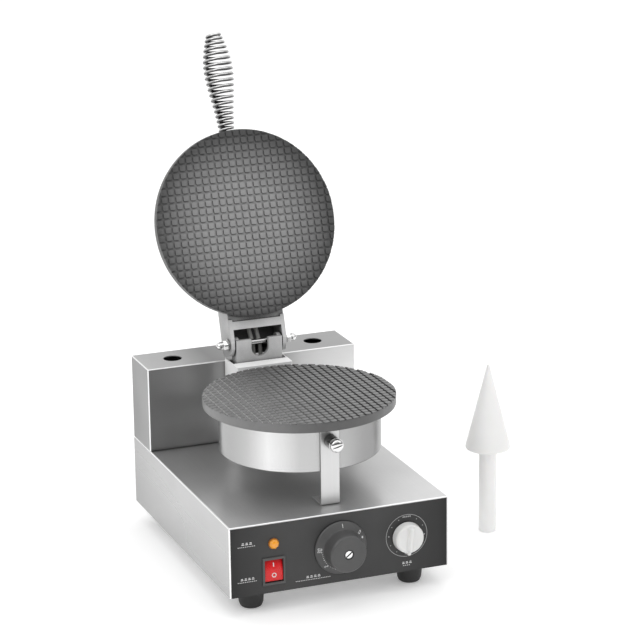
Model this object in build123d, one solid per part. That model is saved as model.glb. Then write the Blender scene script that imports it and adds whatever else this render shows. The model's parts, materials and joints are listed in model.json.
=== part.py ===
from build123d import *
import math
import os

# Single-head waffle cone baker with its cone former.
# Millimetres. Plan frame while modelling: +X right, +Y to the rear, +Z up, floor at z = 0.
# Every solid is moved by ORIGIN on export, so that the origin is the centre of the footprint
# of the whole set (machine and former) on the floor.

# ---------------------------------------------------------------- driving dimensions
ORIGIN_X, ORIGIN_Y = 66.65, 13.21     # plan point that becomes the origin

BASE_W, BASE_D, BASE_H = 249.0, 324.0, 78.5
FOOT_H = 22.5
SHEET = 1.2                          # folded stainless sheet
PANEL_T = 1.5
RIM = 1.5                            # rolled edge of the base left proud around the panel
HOUSING_D, HOUSING_TOP = 60.2, 197.6
HOLDER_R, HOLDER_X, HOLDER_Y = 10.5, 85.0, 132.6

PLATE_R, PLATE_T = 105.0, 10.8
PLATE_Y, PLATE_TOP = -46.0, 198.7
DRUM_R, DRUM_T = 88.5, 1.2
LOWER_DRUM_BOTTOM = 138.4
COVER_DEPTH = 38.0
INSULATION_R = 78.0

HINGE_Y, HINGE_Z = 87.5, 219.7
LID_TILT = 17.9                      # lean past vertical when open, degrees
LID_GAP = 2.5                        # plate faces apart when closed
PIN_R = 3.0
WASHER_T = 1.6

ARM_HW, ARM_CHEEK = 33.0, 4.5        # lid arm half width, cheek thickness
ARM_REAR, ARM_FRONT = -24.0, 9.5     # across the arm, from the pin axis
POST_HW = 27.3                       # lower hinge bracket half width
NOTCH_X, NOTCH_R = 0.9, 10.2         # round-bottomed notch in the bracket, for the heater leads

COIL_WIRE_R = 1.75
COIL_LEAN = 0.04                     # sideways per millimetre, away from the plate face
FERRULE_R = 5.2
STRIP_X, STRIP_W = -0.4, 21.0

KNOB_Z, TIMER_X, TIMER_Z = 62.0, 76.0, 62.6
PILOT_X, PILOT_Z = -75.4, 77.6
SWITCH_X, SWITCH_Z = -75.4, 47.0
ROCKER_TILT = 8.0

FORMER_X, FORMER_Y = 232.4, -30.5
FORMER_H, FORMER_R, FORMER_BASE = 197.8, 25.4, 98.4
FORMER_HANDLE_R = 10.0

# ---------------------------------------------------------------- derived
YF, YR = -BASE_D / 2, BASE_D / 2
ZT = FOOT_H + BASE_H                 # base top, 101.0
HY0 = YR - HOUSING_D                 # housing front face, 101.8
PLATE_BOT = PLATE_TOP - PLATE_T
T = math.radians(LID_TILT)
S_C = HINGE_Y - PLATE_Y              # plate centre along the lid, 133.5
O_FACE = HINGE_Z - PLATE_TOP - LID_GAP   # face out from the pin axis, 18.5
O_BACK = O_FACE - PLATE_T            # plate back, 7.7
O_COVER = O_BACK - COVER_DEPTH
O_HANDLE = -12.5

SHIFT = Location((-ORIGIN_X, -ORIGIN_Y, 0))
LID = Plane(origin=(0, HINGE_Y, HINGE_Z), x_dir=(1, 0, 0),
            z_dir=(0, -math.cos(T), math.sin(T))).location
# in lid coordinates: X across, Y away from the hinge towards the handle, Z out of the plate face

os.makedirs("parts", exist_ok=True)


def box(x0, x1, y0, y1, z0, z1):
    return Pos((x0 + x1) / 2, (y0 + y1) / 2, (z0 + z1) / 2) * Box(abs(x1 - x0), abs(y1 - y0), abs(z1 - z0))


def cz(x, y, z0, z1, r):
    return Pos(x, y, (z0 + z1) / 2) * Cylinder(r, abs(z1 - z0))


def cy(x, z, y0, y1, r):
    return Pos(x, (y0 + y1) / 2, z) * Rot(90, 0, 0) * Cylinder(r, abs(y1 - y0))


def cx(y, z, x0, x1, r):
    return Pos((x0 + x1) / 2, y, z) * Rot(0, 90, 0) * Cylinder(r, abs(x1 - x0))


def hexz(x, y, z0, z1, flats):
    return Pos(x, y, min(z0, z1)) * extrude(RegularPolygon(flats / math.sqrt(3), 6), abs(z1 - z0))


def revolve_z(points):
    # closed profile of (radius, height) turned about Z
    face = make_face(Polyline(*[(r, 0, h) for r, h in points], close=True))
    return revolve(face, Axis.Z, 360)


def tube(points, r, fillets):
    path = FilletPolyline(*points, radius=fillets)
    start = path @ 0
    return sweep(Plane(origin=start, z_dir=path % 0) * Circle(r), path=path)


def export(name, shape, lid=False):
    s = LID * shape if lid else shape
    s = SHIFT * s
    solids = s.solids()
    out = solids[0] if len(solids) == 1 else Compound(children=list(solids))
    export_step(out, f"parts/{name}.step")


# ================================================================ base
outer = box(-BASE_W / 2, BASE_W / 2, YF, YR, FOOT_H, ZT)
rolled = outer.edges().filter_by(Axis.Y).group_by(Axis.Z)[-1]
rolled += outer.edges().filter_by(Axis.Z).group_by(Axis.Y)[0]
rolled += outer.edges().filter_by(Axis.X).group_by(Axis.Z)[-1].group_by(Axis.Y)[0]
outer = fillet(rolled, 1.5)
base = outer - box(-BASE_W / 2 + SHEET, BASE_W / 2 - SHEET, YF + PANEL_T + SHEET, YR - SHEET, FOOT_H - 1, ZT - SHEET)
base -= box(-BASE_W / 2 + RIM, BASE_W / 2 - RIM, YF - 1, YF + PANEL_T, FOOT_H - 1, ZT - RIM)                  # recess for the panel
base -= box(-BASE_W / 2 + 12, BASE_W / 2 - 12, YF, YF + 10, FOOT_H + 8, ZT - 10)      # window behind the panel
base -= cy(-90, 52, YR - 5, YR + 5, 8.0)                                             # cable gland hole
POST_BOLTS = [(-19, 70), (19, 70), (-14, 90), (14, 90)]
for x, y in POST_BOLTS:
    base -= cz(x, y, ZT - 5, ZT + 1, 3.0)
base -= cz(-29.4, 66, ZT - 5, ZT + 1, 2.0)                                           # capillary
base -= cz(0, 88, ZT - 5, ZT + 1, 7.6)                                               # leads
HOUSING_SCREWS = [(-117, 120), (-117, 148), (117, 120), (117, 148)]
for x, y in HOUSING_SCREWS:
    base -= cz(x, y, ZT - 5, ZT + 1, 2.0)
base -= cz(STRIP_X, -118, ZT - 5, ZT + 1, 2.5)
CASE_SCREWS = [(-70, 33), (70, 33)]
for x, z in CASE_SCREWS:
    base -= cy(x, z, YR - 5, YR + 1, 1.5)
export("base_housing", base)

bottom = box(-122.9, 122.9, YF + PANEL_T + SHEET + 0.3, YR - SHEET - 0.3, FOOT_H, FOOT_H + SHEET)
FEET = [(-91.3, -133.3), (91.3, -133.3), (-91.3, 133.3), (91.3, 133.3)]
for x, y in FEET:
    bottom -= cz(x, y, FOOT_H - 1, FOOT_H + 3, 2.0)
for k in range(-4, 5):
    bottom -= box(k * 14 - 2, k * 14 + 2, -70, -20, FOOT_H - 1, FOOT_H + 3)
for x in (-70, 70):                                                                  # side tabs that take the case screws
    bottom += box(x - 12, x + 12, YR - SHEET - 1.8, YR - SHEET - 0.3, FOOT_H, FOOT_H + 14)
for x, z in CASE_SCREWS:
    bottom -= cy(x, z, YR - 8, YR, 1.5)
export("bottom_plate", bottom)

panel = box(-BASE_W / 2 + RIM + 0.1, BASE_W / 2 - RIM - 0.1, YF, YF + PANEL_T, FOOT_H, ZT - RIM - 0.1)
panel -= cy(PILOT_X, PILOT_Z, YF - 2, YF + 4, 5.0)
panel -= box(SWITCH_X - 11, SWITCH_X + 11, YF - 2, YF + 4, SWITCH_Z - 14, SWITCH_Z + 14)
panel -= cy(0, KNOB_Z, YF - 2, YF + 4, 5.0)
panel -= cy(TIMER_X, TIMER_Z, YF - 2, YF + 4, 5.0)
export("front_panel", panel)

feet, foot_screws = [], []
for x, y in FEET:
    f = revolve_z([(2.1, FOOT_H), (14.3, FOOT_H), (13.8, 14.0), (11.3, 1.2), (10.1, 0.0), (5.0, 0.0), (5.0, 10.0), (2.1, 10.0)])
    feet.append(Pos(x, y, 0) * f)
    foot_screws.append(cz(x, y, 7.2, 10.0, 4.0) + cz(x, y, 10.0, FOOT_H + 6, 2.0))
export("rubber_feet", Compound(children=feet))
export("foot_screws", Compound(children=foot_screws))
export("foot_nuts", Compound(children=[hexz(x, y, FOOT_H + SHEET, FOOT_H + SHEET + 3.2, 7.0) - cz(x, y, 20, 40, 2.0) for x, y in FEET]))

# ================================================================ rear housing
HR = YR - SHEET                                    # the cover closes the last sheet thickness
hous = box(-BASE_W / 2, BASE_W / 2, HY0, HR, ZT, HOUSING_TOP)
hous = fillet(hous.edges().filter_by(Axis.Y).group_by(Axis.Z)[-1] + hous.edges().filter_by(Axis.X).group_by(Axis.Z)[-1].group_by(Axis.Y)[0] + hous.edges().filter_by(Axis.Z).group_by(Axis.Y)[0], 1.4)
hous = fillet(hous.edges().filter_by(Axis.X).group_by(Axis.Z)[0].group_by(Axis.Y)[0], 1.0)
hous -= box(-BASE_W / 2 + SHEET, BASE_W / 2 - SHEET, HY0 + SHEET, HR - SHEET, ZT + SHEET, HOUSING_TOP - SHEET)
hous -= box(-110, 110, HY0 + SHEET, HR + 1, ZT - 1, HOUSING_TOP - 14)                # open back and bottom, side flanges kept
for sx in (-1, 1):
    hous -= cz(sx * HOLDER_X, HOLDER_Y, HOUSING_TOP - 5, HOUSING_TOP + 2, HOLDER_R)
for x, y in HOUSING_SCREWS:
    hous -= cz(x, y, ZT - 1, ZT + 3, 2.0)
COVER_SCREWS = [(-117, 112), (117, 112), (-117, 188), (117, 188)]
for x, z in COVER_SCREWS:
    hous -= cy(x, z, HR - 3, HR + 1, 1.5)
export("rear_housing", hous)
export("housing_screws", Compound(children=[cz(x, y, ZT + SHEET, ZT + SHEET + 2.6, 3.8) + cz(x, y, ZT - 6, ZT + SHEET, 2.0) for x, y in HOUSING_SCREWS]))

rcov = box(-BASE_W / 2 + 1.0, BASE_W / 2 - 1.0, HR, YR, ZT + 0.4, HOUSING_TOP - 1.2)
for k in range(-6, 7):
    rcov -= box(k * 12 - 2, k * 12 + 2, HR - 1, YR + 1, 125, 165)
for x, z in COVER_SCREWS:
    rcov -= cy(x, z, HR - 1, YR + 1, 1.5)
export("rear_cover", rcov)
export("rear_screws", Compound(children=[cy(x, z, YR, YR + 2.2, 3.2) + cy(x, z, HR - 6, YR, 1.5) for x, z in COVER_SCREWS + CASE_SCREWS]))


# ================================================================ hinge column and lower hinge bracket
CY0 = 60.5
col = box(-33, 33, CY0, HY0, ZT, 200.0)
col = fillet(col.edges().filter_by(Axis.Z).group_by(Axis.Y)[0], 1.5)
col -= box(-31.5, 31.5, CY0 + 1.5, HY0 + 1, ZT - 1, 198.5)
col -= box(-31.5, 31.5, 77.4, HY0 + 1, 190, 210)
col -= box(-31.3, 31.3, CY0 - 1, CY0 + 5, 174, 191)
export("hinge_column_cover", col)

Y0, Y1 = 78.0, 82.5
c, s = math.cos(T), math.sin(T)


def heel(k, o=-10.7):
    return (HINGE_Y - o * c + k * s, HINGE_Z + o * s + k * c)


prof = [(Y0, ZT), (93.4, ZT), (93.4, heel(-14)[1]), heel(1.5), (95.3, HINGE_Z + 1.0), (92.5, HINGE_Z + 6.0), (Y0, HINGE_Z + 6.1)]
side = make_face(Polyline(*[(0, y, z) for y, z in prof], close=True))
cheek = Pos(22.8, 0, 0) * extrude(side, POST_HW - 22.8, dir=(1, 0, 0))
cheek += cx(HINGE_Y, HINGE_Z, 22.8, POST_HW, 8.0)
post = cheek + mirror(cheek, Plane.YZ)
wall = box(-POST_HW, POST_HW, Y0, Y1, ZT, HINGE_Z + 6.1)
wall -= box(NOTCH_X - NOTCH_R, NOTCH_X + NOTCH_R, Y0 - 1, Y1 + 1, 215.7, 240) + cy(NOTCH_X, 215.7, Y0 - 1, Y1 + 1, NOTCH_R)
post += wall
post += box(-POST_HW, POST_HW, 63, 96, ZT, ZT + 6)
post += box(-24, 24, 14, Y0 + 1, PLATE_BOT - 8, PLATE_BOT)
PLATE_BOLTS = [(-15, 24), (15, 24), (-15, 49), (15, 49)]
for x, y in POST_BOLTS:
    post -= cz(x, y, ZT - 1, ZT + 8, 3.0)
for x, y in PLATE_BOLTS:
    post -= cz(x, y, PLATE_BOT - 10, PLATE_BOT + 1, 3.0)
post -= cz(0, 88, ZT - 1, ZT + 8, 7.6)
post -= cx(HINGE_Y, HINGE_Z, -40, 40, PIN_R + 0.05)
export("lower_hinge_bracket", post)

bolts = [hexz(x, y, ZT + 6, ZT + 10, 10.0) + cz(x, y, ZT - 9, ZT + 6, 3.0) for x, y in POST_BOLTS]
export("bracket_bolts", Compound(children=bolts))
base_nuts = [hexz(x, y, ZT - SHEET - 5, ZT - SHEET, 10.0) - cz(x, y, 80, 110, 3.0) for x, y in POST_BOLTS]

# ================================================================ lower plate assembly
lp = cz(0, PLATE_Y, PLATE_BOT, PLATE_TOP, PLATE_R)
lp = chamfer(lp.edges().group_by(Axis.Z)[-1], 0.8)
for x, y in PLATE_BOLTS:
    lp -= cz(x, y, PLATE_BOT - 1, PLATE_BOT + 7, 3.0)
lp -= cz(0, PLATE_Y, PLATE_BOT - 1, PLATE_BOT + 7, 3.0)
export("lower_plate", lp)
export("lower_plate_bolts", Compound(children=[hexz(x, y, PLATE_BOT - 12, PLATE_BOT - 8, 10.0) + cz(x, y, PLATE_BOT - 8, PLATE_BOT + 7, 3.0) for x, y in PLATE_BOLTS]))

HEAT_R, HEAT_GAP = 66.0, 34.0


def horseshoe(r, wire, gap):
    a0 = 90 + gap
    arc = CenterArc((0, 0, 0), r, a0, 360 - 2 * gap)
    return sweep(Plane(origin=arc @ 0, z_dir=arc % 0) * Circle(wire), path=arc)


HZ = PLATE_BOT - 4.0
export("lower_heater", Pos(0, PLATE_Y, HZ) * horseshoe(HEAT_R, 4.0, HEAT_GAP))
clamp = cz(0, PLATE_Y, HZ - 6, HZ - 4, 78) - cz(0, PLATE_Y, HZ - 9, HZ, 3.1) - box(-27, 27, 10, 80, HZ - 9, HZ) - box(-31, -27, -4, 80, HZ - 9, HZ)
export("lower_heater_clamp", clamp)
ins = cz(0, PLATE_Y, 150, HZ - 6 - 2.6, INSULATION_R) - cz(0, PLATE_Y, 140, 190, 3.1)
export("lower_insulation", ins)
drum = cz(0, PLATE_Y, LOWER_DRUM_BOTTOM, PLATE_BOT, DRUM_R)
drum = fillet(drum.edges().group_by(Axis.Z)[0], 1.2)
drum -= cz(0, PLATE_Y, LOWER_DRUM_BOTTOM + DRUM_T, PLATE_BOT + 1, DRUM_R - DRUM_T)
drum -= box(-31, 31, 0, 60, 174, 190)
drum -= cz(0, PLATE_Y, 130, 150, 3.0)
drum -= cy(0, 172.7, -140, -125, 3.0)
export("lower_drum", drum)
export("lower_drum_stud", cz(0, PLATE_Y, LOWER_DRUM_BOTTOM - 8, PLATE_BOT + 7, 3.0))
nut = hexz(0, PLATE_Y, LOWER_DRUM_BOTTOM - 5, LOWER_DRUM_BOTTOM, 10.0) - cz(0, PLATE_Y, 120, 150, 3.0)
nut2 = hexz(0, PLATE_Y, HZ - 6 - 2.5, HZ - 6, 10.0) - cz(0, PLATE_Y, 120, 190, 3.0)
base_nuts += [nut, nut2]

# ---------------------------------------------------------------- front support
SX0, SX1 = STRIP_X - STRIP_W / 2, STRIP_X + STRIP_W / 2
SY = -134.8
strip = box(SX0, SX1, SY - 1.5, SY, ZT, 186.0) + box(SX0, SX1, SY - 1.5, -109.5, ZT, ZT + 1.5)
strip = fillet(strip.edges().filter_by(Axis.X).group_by(Axis.Z)[0].group_by(Axis.Y)[0], 1.4)
strip -= cy(0, 172.7, -140, -130, 3.0)
strip -= cz(STRIP_X, -118, ZT - 1, ZT + 3, 2.5)
export("support_strip", strip)
export("support_bush", cy(0, 172.7, -152.5, SY - 1.5, 7.3) - cy(0, 172.7, -160, -120, 3.0))
sb = cy(0, 172.7, -153.8, -126.5, 3.0)
wash = cy(0, 172.7, -153.8, -152.5, 8.2) - cy(0, 172.7, -156, -150, 3.0)
export("support_washer", wash)
head = Pos(0, -153.8, 172.7) * Rot(90, 0, 0) * revolve_z([(0, 0), (7.0, 0), (7.0, 3.2), (6.3, 4.4), (4.2, 5.1), (0, 5.5)])
head -= Pos(0, -159.0, 172.7) * Rot(0, -12, 0) * Box(20, 3.0, 1.4)
export("support_bolt", head + sb)
nn = Rot(90, 0, 0) * hexz(0, 0, 0, 4.5, 10.0)
base_nuts.append(Pos(0, -128.3, 172.7) * nn - cy(0, 172.7, -140, -120, 3.0))
export("base_hex_nuts", Compound(children=base_nuts))
export("strip_screw", cz(STRIP_X, -118, ZT + 1.5, ZT + 4.2, 4.6) + cz(STRIP_X, -118, ZT - 7, ZT + 1.5, 2.5))

# ================================================================ controls
# pilot light
lens = Rot(90, 0, 0) * revolve_z([(0, 0), (6.0, 0), (6.0, 1.6), (5.3, 3.4), (3.8, 4.9), (1.9, 5.7), (0, 5.9)])
export("pilot_lens", Pos(PILOT_X, YF, PILOT_Z) * lens)
export("pilot_body", cy(PILOT_X, PILOT_Z, YF, YF + 26, 5.0) + cy(PILOT_X, PILOT_Z, YF + PANEL_T, YF + PANEL_T + 3, 7.0))

# rocker switch, 22 x 28 cut-out size
sw = box(SWITCH_X - 12.75, SWITCH_X + 12.75, YF - 1.8, YF, SWITCH_Z - 15.5, SWITCH_Z + 15.5)
sw = chamfer(sw.faces().sort_by(Axis.Y)[0].edges(), 0.7)
sw += box(SWITCH_X - 10.9, SWITCH_X + 10.9, YF, YF + 22, SWITCH_Z - 13.9, SWITCH_Z + 13.9)
sw -= box(SWITCH_X - 10.5, SWITCH_X + 10.5, YF - 5, YF + 9, SWITCH_Z - 12.7, SWITCH_Z + 12.7)
for z in (-8, 0, 8):
    sw += box(SWITCH_X - 3.2, SWITCH_X + 3.2, YF + 22, YF + 30, SWITCH_Z + z - 0.4, SWITCH_Z + z + 0.4)
PIV_Y = YF + 4.0
sw -= cx(PIV_Y, SWITCH_Z, SWITCH_X - 11.5, SWITCH_X + 11.5, 1.55)
export("switch_housing", sw)
rk = [(-3.0, -11.8), (-1.2, -12.0), (3.0, -7.5), (3.4, 0), (3.0, 7.5), (-1.2, 12.0), (-3.0, 11.8), (-4.8, 0)]
rface = make_face(Polyline(*[(0, y, z) for y, z in rk], close=True))
rocker = Pos(-10.1, 0, 0) * extrude(rface, 20.2, dir=(1, 0, 0)) + cx(0, 0, -10.8, 10.8, 1.5)
export("switch_rocker", Pos(SWITCH_X, PIV_Y, SWITCH_Z) * Rot(-ROCKER_TILT, 0, 0) * rocker)

# thermostat with its knob
th = box(-19, 19, YF + PANEL_T, YF + PANEL_T + 3, KNOB_Z - 15, KNOB_Z + 15) + cy(0, KNOB_Z, YF + PANEL_T + 3, YF + 34, 17)
th += box(-14, 14, YF + 34, YF + 40, KNOB_Z - 12, KNOB_Z + 12)
th += cy(0, KNOB_Z, YF - 0.2, YF + PANEL_T, 4.8)
th -= cy(0, KNOB_Z, YF - 2, YF + 20, 3.05)
export("thermostat_body", th)
export("thermostat_shaft", cy(0, KNOB_Z, YF - 20, YF + 19, 3.0))
kn = Rot(90, 0, 0) * revolve_z([(0, 0), (29.5, 0), (29.5, 1.2), (28.6, 2.4), (21.6, 6.2), (21.2, 8.0), (20.4, 23.0), (19.2, 24.4), (0, 24.4)])
kn = Pos(0, YF - 0.8, KNOB_Z) * kn
kn -= cy(0, KNOB_Z, YF - 20, YF, 3.0)
kn -= cy(0, KNOB_Z, YF - 26, YF - 22.4, 4.9)
kn -= cy(0, KNOB_Z, YF - 23, YF - 19, 1.5)
export("temperature_knob", kn)
ks = cy(0, KNOB_Z, YF - 24.6, YF - 22.4, 4.6) - Pos(0, YF - 24.6, KNOB_Z) * Rot(0, -50, 0) * Box(12, 1.6, 1.4) + cy(0, KNOB_Z, YF - 22.4, YF - 20.0, 1.5)
export("temperature_knob_screw", ks)

# clockwork timer with its knob
tb = box(TIMER_X - 21, TIMER_X + 21, YF + PANEL_T, YF + 40, TIMER_Z - 21, TIMER_Z + 21)
tb = fillet(tb.edges().filter_by(Axis.Y), 3)
tb += cy(TIMER_X, TIMER_Z, YF - 0.2, YF + PANEL_T, 4.8)
tb -= cy(TIMER_X, TIMER_Z, YF - 2, YF + 20, 3.05)
export("timer_body", tb)
export("timer_shaft", cy(TIMER_X, TIMER_Z, YF - 9, YF + 19, 3.0))
tk = Rot(90, 0, 0) * revolve_z([(0, 0), (16.6, 0), (16.6, 1.5), (16.0, 9.2), (14.6, 10.6), (0, 10.6)])
grip = Pos(0, -11.4, 0) * Box(5.4, 4.0, 29.0)
grip = fillet(grip.edges().filter_by(Axis.Z).group_by(Axis.Y)[0], 1.6)
nub = Pos(0, -5.3, -16.2) * Box(5.0, 10.2, 5.0)
tk = tk + grip + nub
TIMER_REST = 4.0
export("timer_knob", Pos(TIMER_X, YF - 0.8, TIMER_Z) * Rot(0, TIMER_REST, 0) * (tk - cy(0, 0, -8.2, 1, 3.0)))

# terminal block, gland and inner wiring
term = box(-66, -20, 118, 140, FOOT_H + SHEET, FOOT_H + SHEET + 16)
for k in range(3):
    term -= cz(-57 + k * 14, 129, FOOT_H + 12, FOOT_H + 20, 3.0)
export("terminal_block", term)
gl = cy(-90, 52, YR - 14, YR + 1, 7.9) + cy(-90, 52, YR, YR + 5, 11.0)
gl = gl + Pos(-90, YR + 5, 52) * Rot(-90, 0, 0) * revolve_z([(0, 0), (9.0, 0), (9.0, 3), (7.0, 9), (0, 9)])
gl -= cy(-90, 52, YR - 20, YR + 20, 4.2)
export("cable_gland", gl)
gn = Rot(90, 0, 0) * hexz(0, 0, 0, 4.5, 22.0)
export("gland_nut", Pos(-90, YR - SHEET, 52) * gn - cy(-90, 52, YR - 20, YR + 2, 7.9))

bulb = cy(-20, PLATE_BOT - 3.0, PLATE_Y - 40, PLATE_Y + 36, 3.0)
cap = tube([(-20, PLATE_Y + 36, PLATE_BOT - 3), (-20, PLATE_Y + 43, PLATE_BOT - 4), (-29.4, 10, PLATE_BOT - 8), (-29.4, 66, PLATE_BOT - 8),
            (-29.4, 66, 60), (-4, YF + 60, KNOB_Z), (-4, YF + 40.1, KNOB_Z)], 1.0, [4, 5, 6, 10, 8])
export("thermostat_bulb", bulb + cap)
wires = [
    tube([(-57, 117.9, 32), (-57, 96, 32), (-104, 60, 32), (-104, -60, 34), (SWITCH_X, YF + 56, SWITCH_Z - 8), (SWITCH_X, YF + 30.1, SWITCH_Z - 8)], 1.4, [12, 20, 20, 12]),
    tube([(-43, 117.9, 32), (-43, 80, 32), (-10, -60, 32), (-6, YF + 60, 55), (-6, YF + 40.1, 55)], 1.4, [20, 20, 8]),
    tube([(-29, 117.9, 32), (-29, 90, 32), (50, -60, 32), (TIMER_X, YF + 60, 60), (TIMER_X, YF + 40.1, 60)], 1.4, [20, 20, 8]),
    tube([(SWITCH_X, YF + 30.1, SWITCH_Z + 8), (SWITCH_X, YF + 44, SWITCH_Z + 8), (PILOT_X, YF + 44, PILOT_Z), (PILOT_X, YF + 26.1, PILOT_Z)], 1.4, [6, 6]),
]
export("internal_wiring", Compound(children=wires))

# sleeved heater leads, up through the bracket and the hinge into the lid arm
leads = []
for x in (-3.6, 4.8):
    y = HINGE_Y + 6.2
    pts = [(x, 88, ZT - 12), (x, 88, ZT + 30), (x + 2.6, y, 196), (x + 1.0, y, HINGE_Z - 1),
           (x - 2.4, HINGE_Y + 20 * s + 6.2 * c, HINGE_Z + 20 * c - 6.2 * s)]
    leads.append(tube(pts, 2.35, [60, 30, 8]))
export("heater_lead_sleeves", Compound(children=leads))

# ================================================================ lid (in lid coordinates)
up = Pos(0, S_C, (O_BACK + O_FACE) / 2) * Cylinder(PLATE_R, PLATE_T)
up = chamfer(up.edges().group_by(Axis.Z)[-1], 0.8)
LID_BOLTS = [(-15, S_C - 80), (15, S_C - 80), (-15, S_C - 65.5), (15, S_C - 65.5)]
for x, y in LID_BOLTS:
    up -= cz(x, y, O_BACK - 1, O_BACK + 7, 3.0)
up -= cz(0, S_C, O_BACK - 1, O_BACK + 7, 3.0)
export("upper_plate", up, lid=True)

# the arm is a deep open-fronted casting: two cheeks, a rear wall that wraps under the pin, a crossbar
# that meets the bracket's heel when the lid is open, and a front beam above the pin
ARM_FOOT = -13.0                     # how far the cheeks and rear wall reach past the pin
outline = [(ARM_FRONT, 27.5), (ARM_FRONT, 1.0), (7.4, -6.0), (1.0, ARM_FOOT), (-17.0, ARM_FOOT),
           (-22.0, ARM_FOOT + 2.0), (ARM_REAR, ARM_FOOT + 7), (ARM_REAR, 44.5), (O_BACK, 44.5), (O_BACK, 27.5)]
cheek_face = make_face(Polyline(*[(ARM_HW - ARM_CHEEK, u, o) for o, u in outline], close=True))
ck = extrude(cheek_face, ARM_CHEEK, dir=(1, 0, 0))
arm = ck + mirror(ck, Plane.YZ)
wrap = [(-17.0, ARM_FOOT), (-22.0, ARM_FOOT + 2.0), (ARM_REAR, ARM_FOOT + 7), (ARM_REAR, 44.5), (ARM_REAR + 4, 44.5),
        (ARM_REAR + 4, ARM_FOOT + 8), (-19.0, ARM_FOOT + 5.5), (-16.4, ARM_FOOT + 4)]
arm += extrude(make_face(Polyline(*[(-ARM_HW + 1, u, o) for o, u in wrap], close=True)), 2 * ARM_HW - 2, dir=(1, 0, 0))
arm += box(-ARM_HW + 1, ARM_HW - 1, -3.8, 3.0, -15.0, -11.0)                         # crossbar, the open stop
arm += box(-ARM_HW + 1, ARM_HW - 1, 15.6, 24.8, 4.0, ARM_FRONT)
arm += box(-29.5, 29.5, 24.7, 75.0, O_BACK - 5.0, O_BACK)
for x, y in LID_BOLTS:
    arm -= cz(x, y, O_BACK - 8, O_BACK + 1, 3.0)
arm -= cx(0, 0, -50, 50, PIN_R)
export("lid_arm", arm, lid=True)
export("lid_arm_bolts", Compound(children=[hexz(x, y, O_BACK - 9, O_BACK - 5, 10.0) + cz(x, y, O_BACK - 5, O_BACK + 7, 3.0) for x, y in LID_BOLTS]), lid=True)

export("hinge_pin", cx(0, 0, -43, 43, PIN_R), lid=True)
acorn, washers = [], []
for sx in (-1, 1):
    a = hexz(0, 0, 0, 5.6, 10.0) + revolve_z([(0, 5.0), (4.6, 5.0), (4.6, 8.4), (3.9, 11.0), (2.4, 12.9), (0, 13.6)])
    a -= cz(0, 0, -1, 8.8, PIN_R)
    acorn.append(Pos(sx * (ARM_HW + WASHER_T), 0, 0) * Rot(0, 90 * sx, 0) * a)
    washers.append(cx(0, 0, sx * ARM_HW, sx * (ARM_HW + WASHER_T), 6.2) - cx(0, 0, -50, 50, PIN_R))
export("hinge_acorn_nuts", Compound(children=acorn), lid=True)
export("hinge_washers", Compound(children=washers), lid=True)

export("upper_heater", Pos(0, S_C, O_BACK - 4) * Rot(0, 0, 180) * horseshoe(HEAT_R, 4.0, HEAT_GAP), lid=True)
cl = cz(0, S_C, O_BACK - 10, O_BACK - 8, 78) - cz(0, S_C, O_BACK - 12, O_BACK - 6, 3.1) - box(-31, 31, 40, 80, O_BACK - 12, O_BACK - 6)
export("upper_heater_clamp", cl, lid=True)
export("upper_insulation", cz(0, S_C, O_COVER + 8, O_BACK - 10 - 2.6, INSULATION_R) - cz(0, S_C, O_COVER, O_BACK, 3.1), lid=True)
cov = cz(0, S_C, O_COVER, O_BACK, DRUM_R)
cov = fillet(cov.edges().group_by(Axis.Z)[0], 1.2)
cov -= cz(0, S_C, O_COVER + DRUM_T, O_BACK + 1, DRUM_R - DRUM_T)
cov -= box(-31, 31, 40, 75, O_BACK - 6.0, O_BACK + 1)
cov -= cz(0, S_C, O_COVER - 2, O_COVER + 4, 3.0)
cov -= Pos(0, S_C + DRUM_R, O_HANDLE) * Rot(90, 0, 0) * Cylinder(3.0, 20)
export("upper_cover", cov, lid=True)
export("upper_cover_stud", cz(0, S_C, O_COVER - 8, O_BACK + 7, 3.0), lid=True)
n1 = hexz(0, S_C, O_COVER - 5, O_COVER, 10.0) - cz(0, S_C, -60, 20, 3.0)
n2 = hexz(0, S_C, O_BACK - 12.5, O_BACK - 10, 10.0) - cz(0, S_C, -60, 20, 3.0)

# handle: a ferrule screwed to the cover, gripped by the narrow end of the coil
fer = Pos(0, S_C + DRUM_R, O_HANDLE) * Rot(-90, 0, 0) * (revolve_z([(0, 0.2), (9.0, 0.2), (9.0, 2.4), (FERRULE_R, 3.2), (FERRULE_R, 15.5), (0, 15.5)]) + cz(0, 0, -9, 0.3, 3.0))
export("handle_ferrule", fer, lid=True)
hn = Pos(0, S_C + DRUM_R - DRUM_T - 0.6, O_HANDLE) * Rot(90, 0, 0) * (hexz(0, 0, 0, 5, 10.0) - cz(0, 0, -1, 6, 3.0))
export("lid_hex_nuts", Compound(children=[n1, n2, hn]), lid=True)
# (distance from the plate centre, mean radius of the turn), one entry for every turn
COIL = [(93.6, 7.0), (97.3, 7.0), (101.0, 7.02), (105.2, 7.15), (110.2, 7.6), (115.7, 8.1), (121.3, 8.65), (127.1, 9.3), (133.1, 10.1),
        (139.3, 11.1), (145.6, 12.1), (152.0, 13.05), (158.5, 13.9), (164.9, 14.6), (171.3, 15.1), (177.55, 15.2), (183.75, 14.9), (190.1, 14.1),
        (196.45, 12.9), (202.45, 11.5), (207.9, 9.9), (212.8, 8.4), (216.8, 7.0)]


def along(t, column):
    n = len(COIL)
    k = min(int(t), n - 2)
    f = t - k
    p = [COIL[min(max(k + m, 0), n - 1)][column] for m in (-1, 0, 1, 2)]
    return 0.5 * (2 * p[1] + (p[2] - p[0]) * f + (2 * p[0] - 5 * p[1] + 4 * p[2] - p[3]) * f ** 2 + (3 * p[1] - p[0] - 3 * p[2] + p[3]) * f ** 3)


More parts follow.
